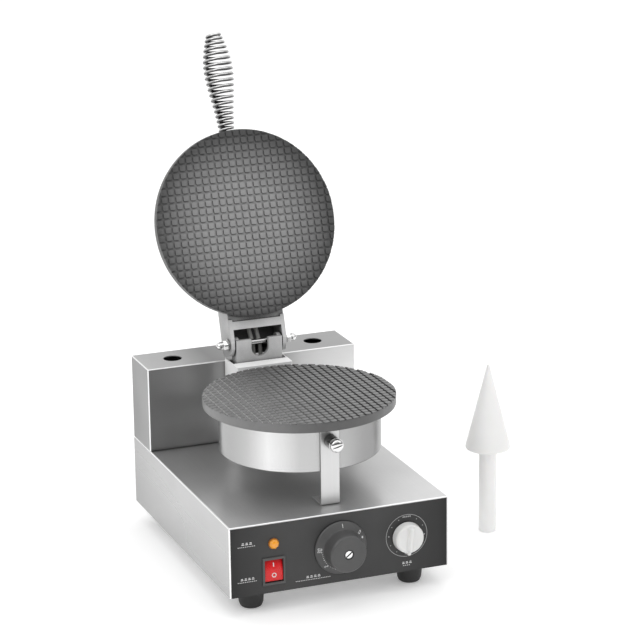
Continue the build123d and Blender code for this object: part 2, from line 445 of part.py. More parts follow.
def lean(u):
    """sideways offset of the coil axis; it leaves the ferrule straight, then leans"""
    d = max(u - 106.0, 0.0)
    return COIL_LEAN * (d - 6.0 * (1 - math.exp(-d / 6.0)))


STEPS = 12
turns = [k / STEPS for k in range((len(COIL) - 1) * STEPS + 1)]
wire = Spline(*[(along(t, 1) * math.cos(2 * math.pi * t), along(t, 1) * math.sin(2 * math.pi * t) + lean(along(t, 0)), along(t, 0)) for t in turns])
coil = sweep(Plane(origin=wire @ 0, z_dir=wire % 0) * Circle(COIL_WIRE_R), path=wire, is_frenet=True)
coil = Pos(0, S_C, O_HANDLE) * Rot(-90, 0, 0) * coil
export("handle_coil", coil, lid=True)

# ================================================================ cone former, standing beside the machine
fc = revolve_z([(0, FORMER_BASE), (22.5, FORMER_BASE), (24.4, FORMER_BASE + 0.6), (25.4, FORMER_BASE + 2.2), (25.1, FORMER_BASE + 4.2),
                (1.6, FORMER_H - 2.2), (0.9, FORMER_H - 0.6), (0, FORMER_H)])
fc -= cz(0, 0, FORMER_BASE - 1, FORMER_BASE + 14, 6.0)
export("former_cone", Pos(FORMER_X, FORMER_Y, 0) * fc)
fh = revolve_z([(0, 0), (9.2, 0), (FORMER_HANDLE_R, 0.8), (FORMER_HANDLE_R, FORMER_BASE), (6.0, FORMER_BASE), (6.0, FORMER_BASE + 14), (0, FORMER_BASE + 14)])
export("former_handle", Pos(FORMER_X, FORMER_Y, 0) * fh)
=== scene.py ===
import bpy, bmesh, json, math, random
import numpy as np
from mathutils import Vector, Matrix


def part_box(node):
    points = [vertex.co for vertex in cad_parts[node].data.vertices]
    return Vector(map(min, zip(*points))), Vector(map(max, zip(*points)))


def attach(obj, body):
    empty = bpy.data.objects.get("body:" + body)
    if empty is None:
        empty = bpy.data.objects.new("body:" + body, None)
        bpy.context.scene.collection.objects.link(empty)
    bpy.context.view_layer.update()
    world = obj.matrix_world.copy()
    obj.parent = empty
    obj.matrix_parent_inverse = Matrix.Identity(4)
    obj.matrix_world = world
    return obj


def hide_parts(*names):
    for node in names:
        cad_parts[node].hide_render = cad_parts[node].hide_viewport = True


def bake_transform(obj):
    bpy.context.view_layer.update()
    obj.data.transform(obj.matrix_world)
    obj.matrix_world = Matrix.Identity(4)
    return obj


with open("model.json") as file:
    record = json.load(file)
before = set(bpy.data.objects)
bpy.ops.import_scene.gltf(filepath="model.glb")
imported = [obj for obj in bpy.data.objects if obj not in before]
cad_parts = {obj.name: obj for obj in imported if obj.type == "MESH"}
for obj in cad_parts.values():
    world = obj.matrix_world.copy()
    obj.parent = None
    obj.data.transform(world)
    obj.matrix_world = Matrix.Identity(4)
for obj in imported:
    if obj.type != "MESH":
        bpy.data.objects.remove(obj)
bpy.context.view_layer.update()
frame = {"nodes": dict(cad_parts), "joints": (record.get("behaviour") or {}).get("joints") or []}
NODES = frame["nodes"]

# ------------------------------------------------------------------ positions, from the frame
# plan millimetres: x right, y back, z up, centre of the machine's base at the origin
_lo, _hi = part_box("base_housing")
CX = (_lo.x + _hi.x) / 2
CY = _hi.y - 0.162
HINGE = [j for j in frame["joints"] if j["name"] == "lid_hinge"][0]
TILT = math.radians(17.9)


def W(x, y, z):
    return Vector((CX + x / 1000, CY + y / 1000, z / 1000))


def L(x, u, o):
    # lid coordinates at rest: across, away from the hinge, out of the plate face
    c, s = math.cos(TILT), math.sin(TILT)
    return W(x, 87.5 + u * s - o * c, 219.7 + u * c + o * s)


LID_M = Matrix(((1, 0, 0, 0), (0, math.sin(TILT), -math.cos(TILT), 0), (0, math.cos(TILT), math.sin(TILT), 0), (0, 0, 0, 1)))

PLATE_TOP, PLATE_T, PLATE_R, PLATE_Y = 198.7, 10.8, 105.0, -46.0
S_C, O_FACE = 133.5, 18.5
YF, KNOB_Z, TIMER_X, TIMER_Z = -162.0, 62.0, 76.0, 62.6
PILOT_X, PILOT_Z, SWITCH_X, SWITCH_Z = -75.4, 77.6, -75.4, 47.0
FORMER_X, FORMER_Y = 232.4, -30.5


# ------------------------------------------------------------------ mesh helpers
def smooth(me, angle=32.0):
    bm = bmesh.new(); bm.from_mesh(me)
    for f in bm.faces:
        f.smooth = True
    lim = math.radians(angle)
    for e in bm.edges:
        e.smooth = len(e.link_faces) == 2 and e.calc_face_angle(0.0) < lim
    bm.to_mesh(me); bm.free()


def mesh_piece(name, verts, faces, mat, body, reps=(), angle=32.0, ride=True, recalc=True):
    me = bpy.data.meshes.new(name)
    me.from_pydata([tuple(v) for v in verts], [], faces)
    if recalc:
        bm = bmesh.new(); bm.from_mesh(me)
        bmesh.ops.remove_doubles(bm, verts=bm.verts, dist=2e-7)
        bmesh.ops.recalc_face_normals(bm, faces=bm.faces)
        bm.to_mesh(me); bm.free()
    smooth(me, angle)
    ob = bpy.data.objects.new(name, me)
    bpy.context.scene.collection.objects.link(ob)
    me.materials.append(mat)
    if ride:
        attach(ob, body)
    if reps:
        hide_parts(*reps)
    return ob


def rounded(profile, spec):
    """profile of (r, h); spec gives a corner radius for each index; corners become small arcs."""
    out = []
    n = len(profile)
    for i, p in enumerate(profile):
        rad = spec.get(i, 0)
        if not rad or i in (0, n - 1):
            out.append(p); continue
        a, b, c = Vector(profile[i - 1]), Vector(p), Vector(profile[i + 1])
        d1, d2 = (a - b), (c - b)
        l1, l2 = d1.length, d2.length
        d1.normalize(); d2.normalize()
        ang = d1.angle(d2)
        t = min(rad / max(math.tan(ang / 2), 1e-6), 0.48 * l1, 0.48 * l2)
        r = t * math.tan(ang / 2)
        p1, p2 = b + d1 * t, b + d2 * t
        cen = b + (d1 + d2).normalized() * (r / math.sin(ang / 2))
        a1 = math.atan2(p1.y - cen.y, p1.x - cen.x); a2 = math.atan2(p2.y - cen.y, p2.x - cen.x)
        da = (a2 - a1 + math.pi) % (2 * math.pi) - math.pi
        for k in range(6):
            t_ = a1 + da * k / 5
            out.append((cen.x + r * math.cos(t_), cen.y + r * math.sin(t_)))
    return out


def lathe(profile, seg=96):
    """closed surface from an open profile that starts and ends on the axis, or a closed ring profile."""
    verts, faces, rows = [], [], []
    for r, h in profile:
        if r < 1e-6:
            rows.append([len(verts)]); verts.append(Vector((0, 0, h)))
        else:
            rows.append(list(range(len(verts), len(verts) + seg)))
            verts += [Vector((r * math.cos(2 * math.pi * k / seg), r * math.sin(2 * math.pi * k / seg), h)) for k in range(seg)]
    pairs = list(zip(rows[:-1], rows[1:]))
    if len(rows[0]) > 1 and len(rows[-1]) > 1:
        pairs.append((rows[-1], rows[0]))
    for A, B in pairs:
        for k in range(seg):
            k2 = (k + 1) % seg
            if len(A) == 1 and len(B) == 1:
                continue
            if len(A) == 1:
                faces.append((A[0], B[k2], B[k]))
            elif len(B) == 1:
                faces.append((A[k], A[k2], B[0]))
            else:
                faces.append((A[k], A[k2], B[k2], B[k]))
    return verts, faces


FRONT = Matrix(((1, 0, 0), (0, 0, -1), (0, 1, 0)))      # local +Z towards the front (-Y)


def place(verts, centre, R=None):
    """local millimetres about a plan point"""
    c = W(*centre)
    out = []
    for v in verts:
        v = Vector(v)
        if R is not None:
            v = R @ v
        out.append(c + v / 1000)
    return out


def join(parts):
    V, F = [], []
    for v, f in parts:
        o = len(V)
        V += list(v)
        F += [tuple(i + o for i in q) for q in f]
    return V, F


def prism(poly, z0, z1, bevel=0.0):
    """local prism over a convex or concave outline, optional bevelled top"""
    n = len(poly)
    V = [Vector((x, y, z0)) for x, y in poly]
    F = [tuple(range(n))[::-1]]
    if bevel:
        V += [Vector((x, y, z1 - bevel)) for x, y in poly]
        cx_ = sum(p[0] for p in poly) / n; cy_ = sum(p[1] for p in poly) / n
        top = []
        for i in range(n):
            a, b, c = Vector(poly[i - 1]), Vector(poly[i]), Vector(poly[(i + 1) % n])
            n1 = Vector(((b - a).y, -(b - a).x)); n2 = Vector(((c - b).y, -(c - b).x))
            if n1.length: n1.normalize()
            if n2.length: n2.normalize()
            m = (n1 + n2)
            m = m.normalized() if m.length > 1e-6 else n1
            q = b - m * bevel / max(m.dot(n1), 0.3)
            top.append(q)
        V += [Vector((q.x, q.y, z1)) for q in top]
        for lay in (0, 1):
            for i in range(n):
                j = (i + 1) % n
                F.append((lay * n + i, lay * n + j, (lay + 1) * n + j, (lay + 1) * n + i))
        F.append(tuple(2 * n + i for i in range(n)))
    else:
        V += [Vector((x, y, z1)) for x, y in poly]
        for i in range(n):
            j = (i + 1) % n
            F.append((i, j, n + j, n + i))
        F.append(tuple(n + i for i in range(n)))
    return V, F


def rrect(w, h, r, k=5, cx=0.0, cy=0.0):
    pts = []
    for sx, sy, a0 in ((1, -1, -90), (1, 1, 0), (-1, 1, 90), (-1, -1, 180)):
        for i in range(k + 1):
            a = math.radians(a0 + 90 * i / k)
            pts.append((cx + sx * (w / 2 - r) + r * math.cos(a), cy + sy * (h / 2 - r) + r * math.sin(a)))
    return pts


def clip_circle(poly, R, n=256):
    """convex outline cut by a circle of radius R about the origin"""
    if all(x * x + y * y <= R * R for x, y in poly):
        return poly
    out = list(poly)
    ca = math.atan2(sum(p[1] for p in poly), sum(p[0] for p in poly))
    for k in range(-10, 11):
        a = ca + 2 * math.pi * k / n
        nx, ny = math.cos(a), math.sin(a)
        d = R * math.cos(math.pi / n)
        res = []
        for i in range(len(out)):
            p, q = out[i], out[(i + 1) % len(out)]
            dp, dq = p[0] * nx + p[1] * ny - d, q[0] * nx + q[1] * ny - d
            if dp <= 0:
                res.append(p)
            if (dp < 0 < dq) or (dq < 0 < dp):
                t = dp / (dp - dq)
                res.append((p[0] + (q[0] - p[0]) * t, p[1] + (q[1] - p[1]) * t))
        out = res
        if len(out) < 3:
            return []
    return out


def tube_mesh(points, r, seg=12, cap=True):
    """tube along points (world metres)"""
    P = [Vector(p) for p in points]
    n = len(P)
    T = []
    for i in range(n):
        a, b = P[max(i - 1, 0)], P[min(i + 1, n - 1)]
        T.append((b - a).normalized())
    up = Vector((0, 0, 1)) if abs(T[0].z) < 0.9 else Vector((1, 0, 0))
    nrm = (up - T[0] * up.dot(T[0])).normalized()
    V, F = [], []
    for i in range(n):
        nrm = (nrm - T[i] * nrm.dot(T[i])).normalized()
        b = T[i].cross(nrm)
        rr = r[i] if isinstance(r, (list, tuple)) else r
        for k in range(seg):
            a = 2 * math.pi * k / seg
            V.append(P[i] + (nrm * math.cos(a) + b * math.sin(a)) * rr)
    for i in range(n - 1):
        for k in range(seg):
            k2 = (k + 1) % seg
            F.append((i * seg + k, i * seg + k2, (i + 1) * seg + k2, (i + 1) * seg + k))
    if cap:
        F.append(tuple(range(seg))[::-1]); F.append(tuple((n - 1) * seg + k for k in range(seg)))
    return V, F


# ------------------------------------------------------------------ materials
def new_mat(name):
    m = bpy.data.materials.new(name)
    m.use_nodes = True
    nt = m.node_tree
    for n in list(nt.nodes):
        nt.nodes.remove(n)
    out = nt.nodes.new("ShaderNodeOutputMaterial")
    b = nt.nodes.new("ShaderNodeBsdfPrincipled")
    nt.links.new(b.outputs[0], out.inputs[0])
    return m, nt, b


def coords(nt, scale=(1, 1, 1)):
    tc = nt.nodes.new("ShaderNodeTexCoord")
    mp = nt.nodes.new("ShaderNodeMapping")
    mp.inputs["Scale"].default_value = scale
    nt.links.new(tc.outputs["Object"], mp.inputs["Vector"])
    return mp.outputs[0]


def noise(nt, vec, scale, detail=2.0, rough=0.5):
    n = nt.nodes.new("ShaderNodeTexNoise")
    n.inputs["Scale"].default_value = scale
    n.inputs["Detail"].default_value = detail
    n.inputs["Roughness"].default_value = rough
    nt.links.new(vec, n.inputs["Vector"])
    return n.outputs[0]


def ramp(nt, fac, stops):
    r = nt.nodes.new("ShaderNodeValToRGB")
    nt.links.new(fac, r.inputs[0])
    el = r.color_ramp.elements
    while len(el) > len(stops):
        el.remove(el[-1])
    while len(el) < len(stops):
        el.new(0.5)
    for e, (p, c) in zip(el, stops):
        e.position = p
        e.color = (c, c, c, 1) if isinstance(c, (int, float)) else (*c, 1)
    return r.outputs[0]


def mrange(nt, fac, a, b, c, d):
    m = nt.nodes.new("ShaderNodeMapRange")
    m.inputs[1].default_value, m.inputs[2].default_value = a, b
    m.inputs[3].default_value, m.inputs[4].default_value = c, d
    nt.links.new(fac, m.inputs[0])
    return m.outputs[0]


def mult(nt, a, b):
    m = nt.nodes.new("ShaderNodeMix"); m.data_type = "RGBA"; m.blend_type = "MULTIPLY"
    m.inputs[0].default_value = 1.0
    nt.links.new(a, m.inputs[6]); nt.links.new(b, m.inputs[7])
    return m.outputs[2]


def bump(nt, b, height, strength, dist=0.0002, edge=0.0):
    bp = nt.nodes.new("ShaderNodeBump")
    bp.inputs["Strength"].default_value = strength
    bp.inputs["Distance"].default_value = dist
    nt.links.new(height, bp.inputs["Height"])
    if edge:
        bv = nt.nodes.new("ShaderNodeBevel"); bv.samples = 4
        bv.inputs["Radius"].default_value = edge
        nt.links.new(bv.outputs[0], bp.inputs["Normal"])
    nt.links.new(bp.outputs[0], b.inputs["Normal"])


def tint(nt, fac, dark, light):
    mx = nt.nodes.new("ShaderNodeMix"); mx.data_type = "RGBA"
    mx.inputs[6].default_value = (*dark, 1); mx.inputs[7].default_value = (*light, 1)
    nt.links.new(fac, mx.inputs[0])
    return mx.outputs[2]


def brushed(name, dark, light, rough=(0.26, 0.40), brush="x", grad=None, edge=0.0005, metal=1.0, bstr=0.25, ao=None, zones=None, streaks=(6.0, 1400.0), edges=None):
    """brushed sheet: long fine scratches one way, faint cloudy variation, a few handling marks"""
    m, nt, b = new_mat(name)
    long_, fine = streaks
    sc = {"x": (long_, fine, fine), "y": (fine, long_, fine), "z": (fine, fine, long_)}[brush]
    streak = noise(nt, coords(nt, sc), 1.0, 3.0, 0.6)
    cloud = noise(nt, coords(nt), 11.0, 3.0, 0.55)
    marks = noise(nt, coords(nt, {"x": (3, 22, 22), "y": (22, 3, 22), "z": (22, 22, 3)}[brush]), 1.0, 0.0, 0.5)
    col = tint(nt, mrange(nt, streak, 0.25, 0.75, 0, 1), dark, light)
    col = mult(nt, col, ramp(nt, cloud, [(0.3, 0.93), (0.7, 1.0)]))
    # grad and zones paint light and shade into the sheet's tone, ao paints shade in corners and under parts, edges
    # paints highlights on the rolled edges
    if grad is not None:
        axis, stops = grad
        sep = nt.nodes.new("ShaderNodeSeparateXYZ")
        nt.links.new(coords(nt), sep.inputs[0])
        lo, hi = stops[0][0], stops[-1][0]
        f = mrange(nt, sep.outputs["XYZ".index(axis)], lo, hi, 0, 1)
        col = mult(nt, col, ramp(nt, f, [((p - lo) / (hi - lo), v) for p, v in stops]))
    for z in zones or ():
        col = zone(nt, col, *z)
    if ao:
        col = painted_crevice_shade(nt, col, *ao)
    if edges:
        col = painted_edge_highlights(nt, col, edges)
    nt.links.new(col, b.inputs["Base Color"])
    nt.links.new(mrange(nt, marks, 0.3, 0.7, *rough), b.inputs["Roughness"])
    b.inputs["Metallic"].default_value = metal
    bump(nt, b, streak, bstr, 0.00005, edge)
    return m


def painted_crevice_shade(nt, col, *spec):
    """painted shade in corners, seams and under parts: pairs of distance and darkest tone"""
    for dist, floor_ in zip(spec[::2], spec[1::2]):
        ao = nt.nodes.new("ShaderNodeAmbientOcclusion"); ao.samples = 8
        ao.inputs["Distance"].default_value = dist
        col = mult(nt, col, ramp(nt, ao.outputs["AO"], [(0.0, floor_), (0.35, floor_ * 0.4 + 0.6 * floor_ ** 0.5), (0.95, 1.0)]))
    return col


def painted_edge_highlights(nt, col, planes):
    """painted highlights on the rolled edges, where two of the three outer planes meet"""
    sep = nt.nodes.new("ShaderNodeSeparateXYZ")
    nt.links.new(coords(nt), sep.inputs[0])
    off = {"x": CX, "y": CY, "z": 0.0}
    ms = []
    for axis, side, at in planes:
        v = off[axis] + at / 1000
        ms.append(mrange(nt, sep.outputs["xyz".index(axis)], v, v + side * 0.0002, 0, 1))
    tot = None
    for i, j in ((0, 1), (0, 2), (1, 2)):
        m = nt.nodes.new("ShaderNodeMath"); m.operation = "MULTIPLY"
        nt.links.new(ms[i], m.inputs[0]); nt.links.new(ms[j], m.inputs[1])
        if tot is None:
            tot = m.outputs[0]
        else:
            a = nt.nodes.new("ShaderNodeMath"); a.operation = "MAXIMUM"
            nt.links.new(tot, a.inputs[0]); nt.links.new(m.outputs[0], a.inputs[1])
            tot = a.outputs[0]
    mx = nt.nodes.new("ShaderNodeMix"); mx.data_type = "RGBA"
    nt.links.new(tot, mx.inputs[0])
    nt.links.new(col, mx.inputs[6]); mx.inputs[7].default_value = (0.98, 0.98, 0.98, 1)
    return mx.outputs[2]


def zone(nt, col, axis, lo, hi, along, stops):
    """tone along one axis, only where another coordinate lies between lo and hi (plan millimetres)"""
    sep = nt.nodes.new("ShaderNodeSeparateXYZ")
    nt.links.new(coords(nt), sep.inputs[0])
    off = {"x": CX, "y": CY, "z": 0.0}
    o = sep.outputs["xyz".index(axis)]
    m1 = mrange(nt, o, off[axis] + (lo - 0.1) / 1000, off[axis] + lo / 1000, 0, 1)
    m2 = mrange(nt, o, off[axis] + hi / 1000, off[axis] + (hi + 0.1) / 1000, 1, 0)
    mm = nt.nodes.new("ShaderNodeMath"); mm.operation = "MULTIPLY"
    nt.links.new(m1, mm.inputs[0]); nt.links.new(m2, mm.inputs[1])
    a0, a1 = stops[0][0], stops[-1][0]
    f = mrange(nt, sep.outputs["xyz".index(along)], off[along] + a0 / 1000, off[along] + a1 / 1000, 0, 1)
    tone = ramp(nt, f, [((p - a0) / (a1 - a0), v) for p, v in stops])
    mx = nt.nodes.new("ShaderNodeMix"); mx.data_type = "RGBA"; mx.blend_type = "MULTIPLY"
    nt.links.new(mm.outputs[0], mx.inputs[0])
    nt.links.new(col, mx.inputs[6]); nt.links.new(tone, mx.inputs[7])
    return mx.outputs[2]


def cast(name, dark, light, rough=(0.42, 0.55), grain=900.0, bstr=0.5, metal=1.0, edge=0.0006, ao=None, zones=None, disc=None):
    m, nt, b = new_mat(name)
    n1 = noise(nt, coords(nt), grain, 3.0, 0.6)
    n2 = noise(nt, coords(nt), 60.0, 4.0, 0.6)
    col = tint(nt, mrange(nt, n2, 0.3, 0.7, 0, 1), dark, light)
    # zones and disc paint light and shade into the tone, ao paints shade in corners and under parts
    for z in zones or ():
        col = zone(nt, col, *z)
    if disc:
        col = disc_tone(nt, col, *disc)
    if ao:
        col = painted_crevice_shade(nt, col, *ao)
    nt.links.new(col, b.inputs["Base Color"])
    nt.links.new(mrange(nt, n1, 0.3, 0.7, *rough), b.inputs["Roughness"])
    b.inputs["Metallic"].default_value = metal
    bump(nt, b, n1, bstr, 0.00012, edge)
    return m


def disc_tone(nt, col, centre, stops):
    """tone by the distance from a point, in millimetres: darker towards the rim"""
    d = nt.nodes.new("ShaderNodeVectorMath"); d.operation = "DISTANCE"
    nt.links.new(coords(nt), d.inputs[0]); d.inputs[1].default_value = centre
    hi = stops[-1][0]
    f = mrange(nt, d.outputs["Value"], 0.0, hi / 1000, 0, 1)
    return mult(nt, col, ramp(nt, f, [(r / hi, v) for r, v in stops]))


def plastic(name, dark, light, rough=(0.3, 0.42), grain=1500.0, bstr=0.15, edge=0.0004, coat=0.0, sss=0.0):
    m, nt, b = new_mat(name)
    n1 = noise(nt, coords(nt), grain, 2.0, 0.5)
    n2 = noise(nt, coords(nt), 35.0, 3.0, 0.5)
    nt.links.new(tint(nt, mrange(nt, n2, 0.3, 0.7, 0, 1), dark, light), b.inputs["Base Color"])
    nt.links.new(mrange(nt, n1, 0.3, 0.7, *rough), b.inputs["Roughness"])
    bump(nt, b, n1, bstr, 0.00008, edge)
    if coat:
        b.inputs["Coat Weight"].default_value = coat
        b.inputs["Coat Roughness"].default_value = 0.08
    if sss:
        b.inputs["Subsurface Weight"].default_value = sss
        b.inputs["Subsurface Radius"].default_value = (0.004, 0.003, 0.002)
    return m


# the ao= settings in the materials below paint shade into the colour, in corners, seams and under parts
g = lambda v: (v, v, v)
# base sheet: painted reflection along the left side, darker towards the back; painted light at the front of the top and
# painted shade on the top behind the housing front; painted highlights on the rolled edges
STEEL_BASE = brushed("base_steel", g(0.66), g(0.69), (0.27, 0.32), "y", bstr=0.0, ao=(0.008, 0.30, 0.10, 0.60), streaks=(0.3, 700.0), metal=0.82,
                     zones=[("x", -125.0, -124.35, "y", [(-162, 0.82), (0, 0.75), (90, 0.66), (162, 0.56)]),
                            ("z", 100.0, 101.2, "y", [(-162, 1.22), (-110, 1.22), (-40, 1.12), (20, 1.0), (101.6, 1.0), (103.0, 0.06), (162, 0.06)])],
                     edges=[("x", -1, -123.2), ("y", -1, -160.7), ("z", 1, 99.7)])
# housing: painted shade on the left of the front and painted light on its right, lighter towards the bottom; painted
# shade on the left side, on the top under the lid arm and inside at the back; painted highlights on the rolled edges
STEEL_HOUSING = brushed("housing_steel", g(0.65), g(0.68), (0.30, 0.36), "x", bstr=0.0, ao=(0.005, 0.30), streaks=(0.3, 700.0), metal=0.85,
                        zones=[("y", 101.0, 101.95, "x", [(-124.5, 0.38), (-95, 0.46), (-60, 0.60), (-33, 0.62), (33, 0.85), (60, 1.05), (124.5, 1.2)]),
                               ("y", 101.0, 101.95, "z", [(101, 1.20), (130, 1.20), (165, 1.0), (197, 0.88)]),
                               ("x", -125.0, -124.35, "y", [(100.0, 0.42), (162.0, 0.35)]),
                               ("z", 196.95, 200.0, "x", [(-125, 0.80), (-85, 0.70), (-45, 0.34), (33, 0.60), (125, 0.66)]),
                               ("y", 159.55, 159.65, "x", [(-125, 0.03), (125, 0.03)])],
                        edges=[("x", -1, -123.3), ("y", -1, 103.0), ("z", 1, 196.4)])
# column cover steel given white, non-metallic colour: painted reflection that keeps it bright under the lid
STEEL_COLUMN = brushed("column_steel", g(0.97), g(1.0), (0.36, 0.46), "x", bstr=0.0, ao=(0.002, 0.80), streaks=(0.3, 700.0), metal=0.0)
# drum steel: a painted highlight band left of centre, with painted shade towards the left edge and, more strongly,
# towards the right
STEEL_DRUM = brushed("drum_steel", g(0.70), g(0.72), (0.24, 0.26), "z", bstr=0.0, ao=(0.006, 0.45), streaks=(0.3, 700.0), metal=0.88,
                     grad=("X", [(CX - 0.0885, 0.55), (CX - 0.077, 0.73), (CX - 0.061, 1.12), (CX - 0.046, 0.96), (CX - 0.032, 0.76), (CX - 0.008, 0.73), (CX + 0.020, 0.62), (CX + 0.043, 0.46), (CX + 0.066, 0.35), (CX + 0.0885, 0.28)]))
STEEL_STRIP = brushed("strip_steel", g(0.68), g(0.71), (0.30, 0.36), "z", bstr=0.0, ao=(0.004, 0.45), streaks=(0.3, 700.0), metal=0.8)
# the rear cover's inside carries painted shade, where only the former holders look in
STEEL_REAR = brushed("rear_steel", g(0.66), g(0.69), (0.30, 0.36), "x", bstr=0.0, ao=(0.005, 0.30), streaks=(0.3, 700.0), metal=0.85,
                     zones=[("y", 150.0, 161.3, "x", [(-125, 0.03), (125, 0.03)])])
STEEL_PLAIN = brushed("plain_steel", g(0.55), g(0.64), (0.32, 0.45), "x", ao=(0.02, 0.35))
STEEL_DARK = brushed("oxidised_steel", g(0.20), g(0.27), (0.42, 0.55), "z", ao=(0.02, 0.4))
ALU = cast("cast_aluminium", g(0.74), g(0.88), (0.40, 0.54), 900.0, 0.55, metal=0.25, ao=(0.004, 0.45, 0.034, 0.10))
# lid arm: painted shade on the outer face of the left cheek
ALU_ARM = cast("cast_arm", g(0.72), g(0.86), (0.40, 0.54), 900.0, 0.55, metal=0.25, ao=(0.004, 0.40, 0.034, 0.06), zones=[("x", -34.0, -32.9, "z", [(200, 0.60), (270, 0.62)])])
CHROME = cast("chrome", g(0.62), g(0.72), (0.05, 0.10), 300.0, 0.03, edge=0.0003, ao=(0.005, 0.10))
def coil_chrome():
    """chromed wire, with painted shade on the inside of the turns and along the flank that faces the plate"""
    m, nt, b = new_mat("coil_chrome")
    cloud = noise(nt, coords(nt), 260.0, 2.0, 0.5)
    tc = nt.nodes.new("ShaderNodeTexCoord")
    a0 = L(0, S_C, -12.5); ax = (L(0, S_C + 1000, -12.5) - a0).normalized()

    def vm(op, a, c=None):
        n = nt.nodes.new("ShaderNodeVectorMath"); n.operation = op
        nt.links.new(a, n.inputs[0])
        if c is not None:
            if isinstance(c, Vector):
                n.inputs[1].default_value = c
            else:
                nt.links.new(c, n.inputs[1])
        return n

    rel = vm("SUBTRACT", coords(nt), a0).outputs[0]
    along_ = vm("PROJECT", rel, ax).outputs[0]
    rad = vm("NORMALIZE", vm("SUBTRACT", rel, along_).outputs[0]).outputs[0]
    f = vm("DOT_PRODUCT", rad, tc.outputs["Normal"]).outputs["Value"]
    u = vm("DOT_PRODUCT", tc.outputs["Normal"], ax).outputs["Value"]
    col = tint(nt, cloud, g(0.72), g(0.80))
    # painted shade on the faces of the wire that look inward, towards the coil's axis
    col = mult(nt, col, ramp(nt, mrange(nt, f, -1, 1, 0, 1), [(0.0, 0.05), (0.42, 0.10), (0.60, 0.55), (0.78, 1.0)]))
    # painted shade on the faces that look back towards the plate, and a lesser painted shade on those facing away
    col = mult(nt, col, ramp(nt, mrange(nt, u, -1, 1, 0, 1), [(0.0, 0.10), (0.34, 0.16), (0.55, 0.90), (0.75, 1.0), (1.0, 0.50)]))
    nt.links.new(col, b.inputs["Base Color"])
    b.inputs["Metallic"].default_value = 0.9
    b.inputs["Roughness"].default_value = 0.22
    return m


COIL = coil_chrome()
CHROME_BRIGHT = cast("chrome_bright", g(0.78), g(0.86), (0.05, 0.10), 300.0, 0.03, edge=0.0003, ao=(0.004, 0.12))
ZINC = cast("zinc", g(0.52), g(0.62), (0.28, 0.40), 500.0, 0.15, ao=(0.008, 0.35))
# lower plate coating: painted shade towards the back of the top, and painted reflection on the rim band and flanks,
# light at both ends and dark across the middle
COATING = cast("nonstick_coating", g(0.180), g(0.212), (0.38, 0.46), 2200.0, 0.30, 0.20, 0.0,
               zones=[("z", 190.0, 199.5, "y", [(-151, 1.0), (-60, 1.08), (0, 0.95), (59, 0.62)]),
                      ("z", 180.0, 198.3, "x", [(-105, 1.0), (-70, 0.95), (-20, 0.55), (30, 0.52), (70, 0.75), (105, 0.95)])])
RIM_TONE = (L(-3, S_C - 4, O_FACE), [(0, 0.95), (45, 0.92), (72, 0.68), (90, 0.44), (100, 0.26), (116, 0.13)])
COATING_UP = cast("nonstick_coating_lid", g(0.320), g(0.350), (0.40, 0.50), 2200.0, 0.30, 0.20, 0.0, disc=RIM_TONE)
# groove floors of the lower plate: darker than the pads as painted shade, with painted light on the left half and
# painted shade on the right
GROOVE = cast("nonstick_groove", g(0.120), g(0.145), (0.50, 0.62), 2200.0, 0.30, 0.1, 0.0,
              zones=[("z", 0, 900, "x", [(-105, 1.5), (-50, 1.3), (0, 0.75), (50, 0.35), (105, 0.25)])])
GROOVE_UP = cast("nonstick_groove_lid", g(0.300), g(0.330), (0.50, 0.62), 2200.0, 0.30, 0.1, 0.0, disc=RIM_TONE)
# the flanks of the pads: painted glints on the left, painted shade to the right
WALL = cast("nonstick_flank", g(0.46), g(0.50), (0.50, 0.62), 2200.0, 0.30, 0.1, 0.0,
            zones=[("z", 0, 900, "x", [(-105, 1.0), (-60, 0.9), (-25, 0.40), (10, 0.12), (50, 0.05), (105, 0.04)])])
# flanks of the lid plate's pads that face down and sideways: painted shade
WALL_UP = cast("nonstick_flank_lid", g(0.030), g(0.040), (0.60, 0.70), 2200.0, 0.30, 0.1, 0.0)
COATING_SIDE = cast("nonstick_band", g(0.12), g(0.15), (0.36, 0.46), 2200.0, 0.30, 0.2, 0.0)
RUBBER = plastic("rubber", g(0.018), g(0.028), (0.50, 0.65), 900.0, 0.4)
BLACK = plastic("black_plastic", g(0.05), g(0.065), (0.34, 0.46))
GLOSS_BLACK = plastic("gloss_black", g(0.030), g(0.042), (0.10, 0.18), 700.0, 0.05, coat=0.3)
BEZEL = plastic("switch_bezel", g(0.070), g(0.085), (0.36, 0.48))
KNOB = plastic("knob_plastic", g(0.070), g(0.085), (0.34, 0.46))
SKIRT = plastic("knob_skirt", g(0.085), g(0.105), (0.30, 0.40))
WHITE_KNOB = plastic("knob_white", (0.78, 0.78, 0.77), (0.84, 0.84, 0.83), (0.28, 0.4), 1200.0, 0.1, sss=0.05)
WHITE_PLASTIC = plastic("white_plastic", g(0.78), g(0.84), (0.4, 0.5))
FORMER = plastic("former_white", (0.93, 0.925, 0.915), (0.96, 0.955, 0.945), (0.36, 0.5), 900.0, 0.12, sss=0.08)
RED = plastic("rocker_red", (0.66, 0.006, 0.010), (0.74, 0.010, 0.014), (0.22, 0.32), 1500.0, 0.08)
AMBER = plastic("pilot_amber", (0.90, 0.34, 0.015), (0.98, 0.46, 0.05), (0.14, 0.22), 700.0, 0.05, coat=0.5)
PRINT = plastic("print_white", g(0.70), g(0.78), (0.5, 0.6), 2500.0, 0.05, 0.0)
PRINT_MID = plastic("print_mid", g(0.36), g(0.44), (0.5, 0.6), 2500.0, 0.05, 0.0)
AMBER_DARK = plastic("pilot_flange_amber", (0.30, 0.10, 0.01), (0.38, 0.14, 0.015), (0.2, 0.3), 700.0, 0.05)
PRINT_GREY = plastic("print_grey", g(0.26), g(0.32), (0.5, 0.6), 2500.0, 0.05, 0.0)
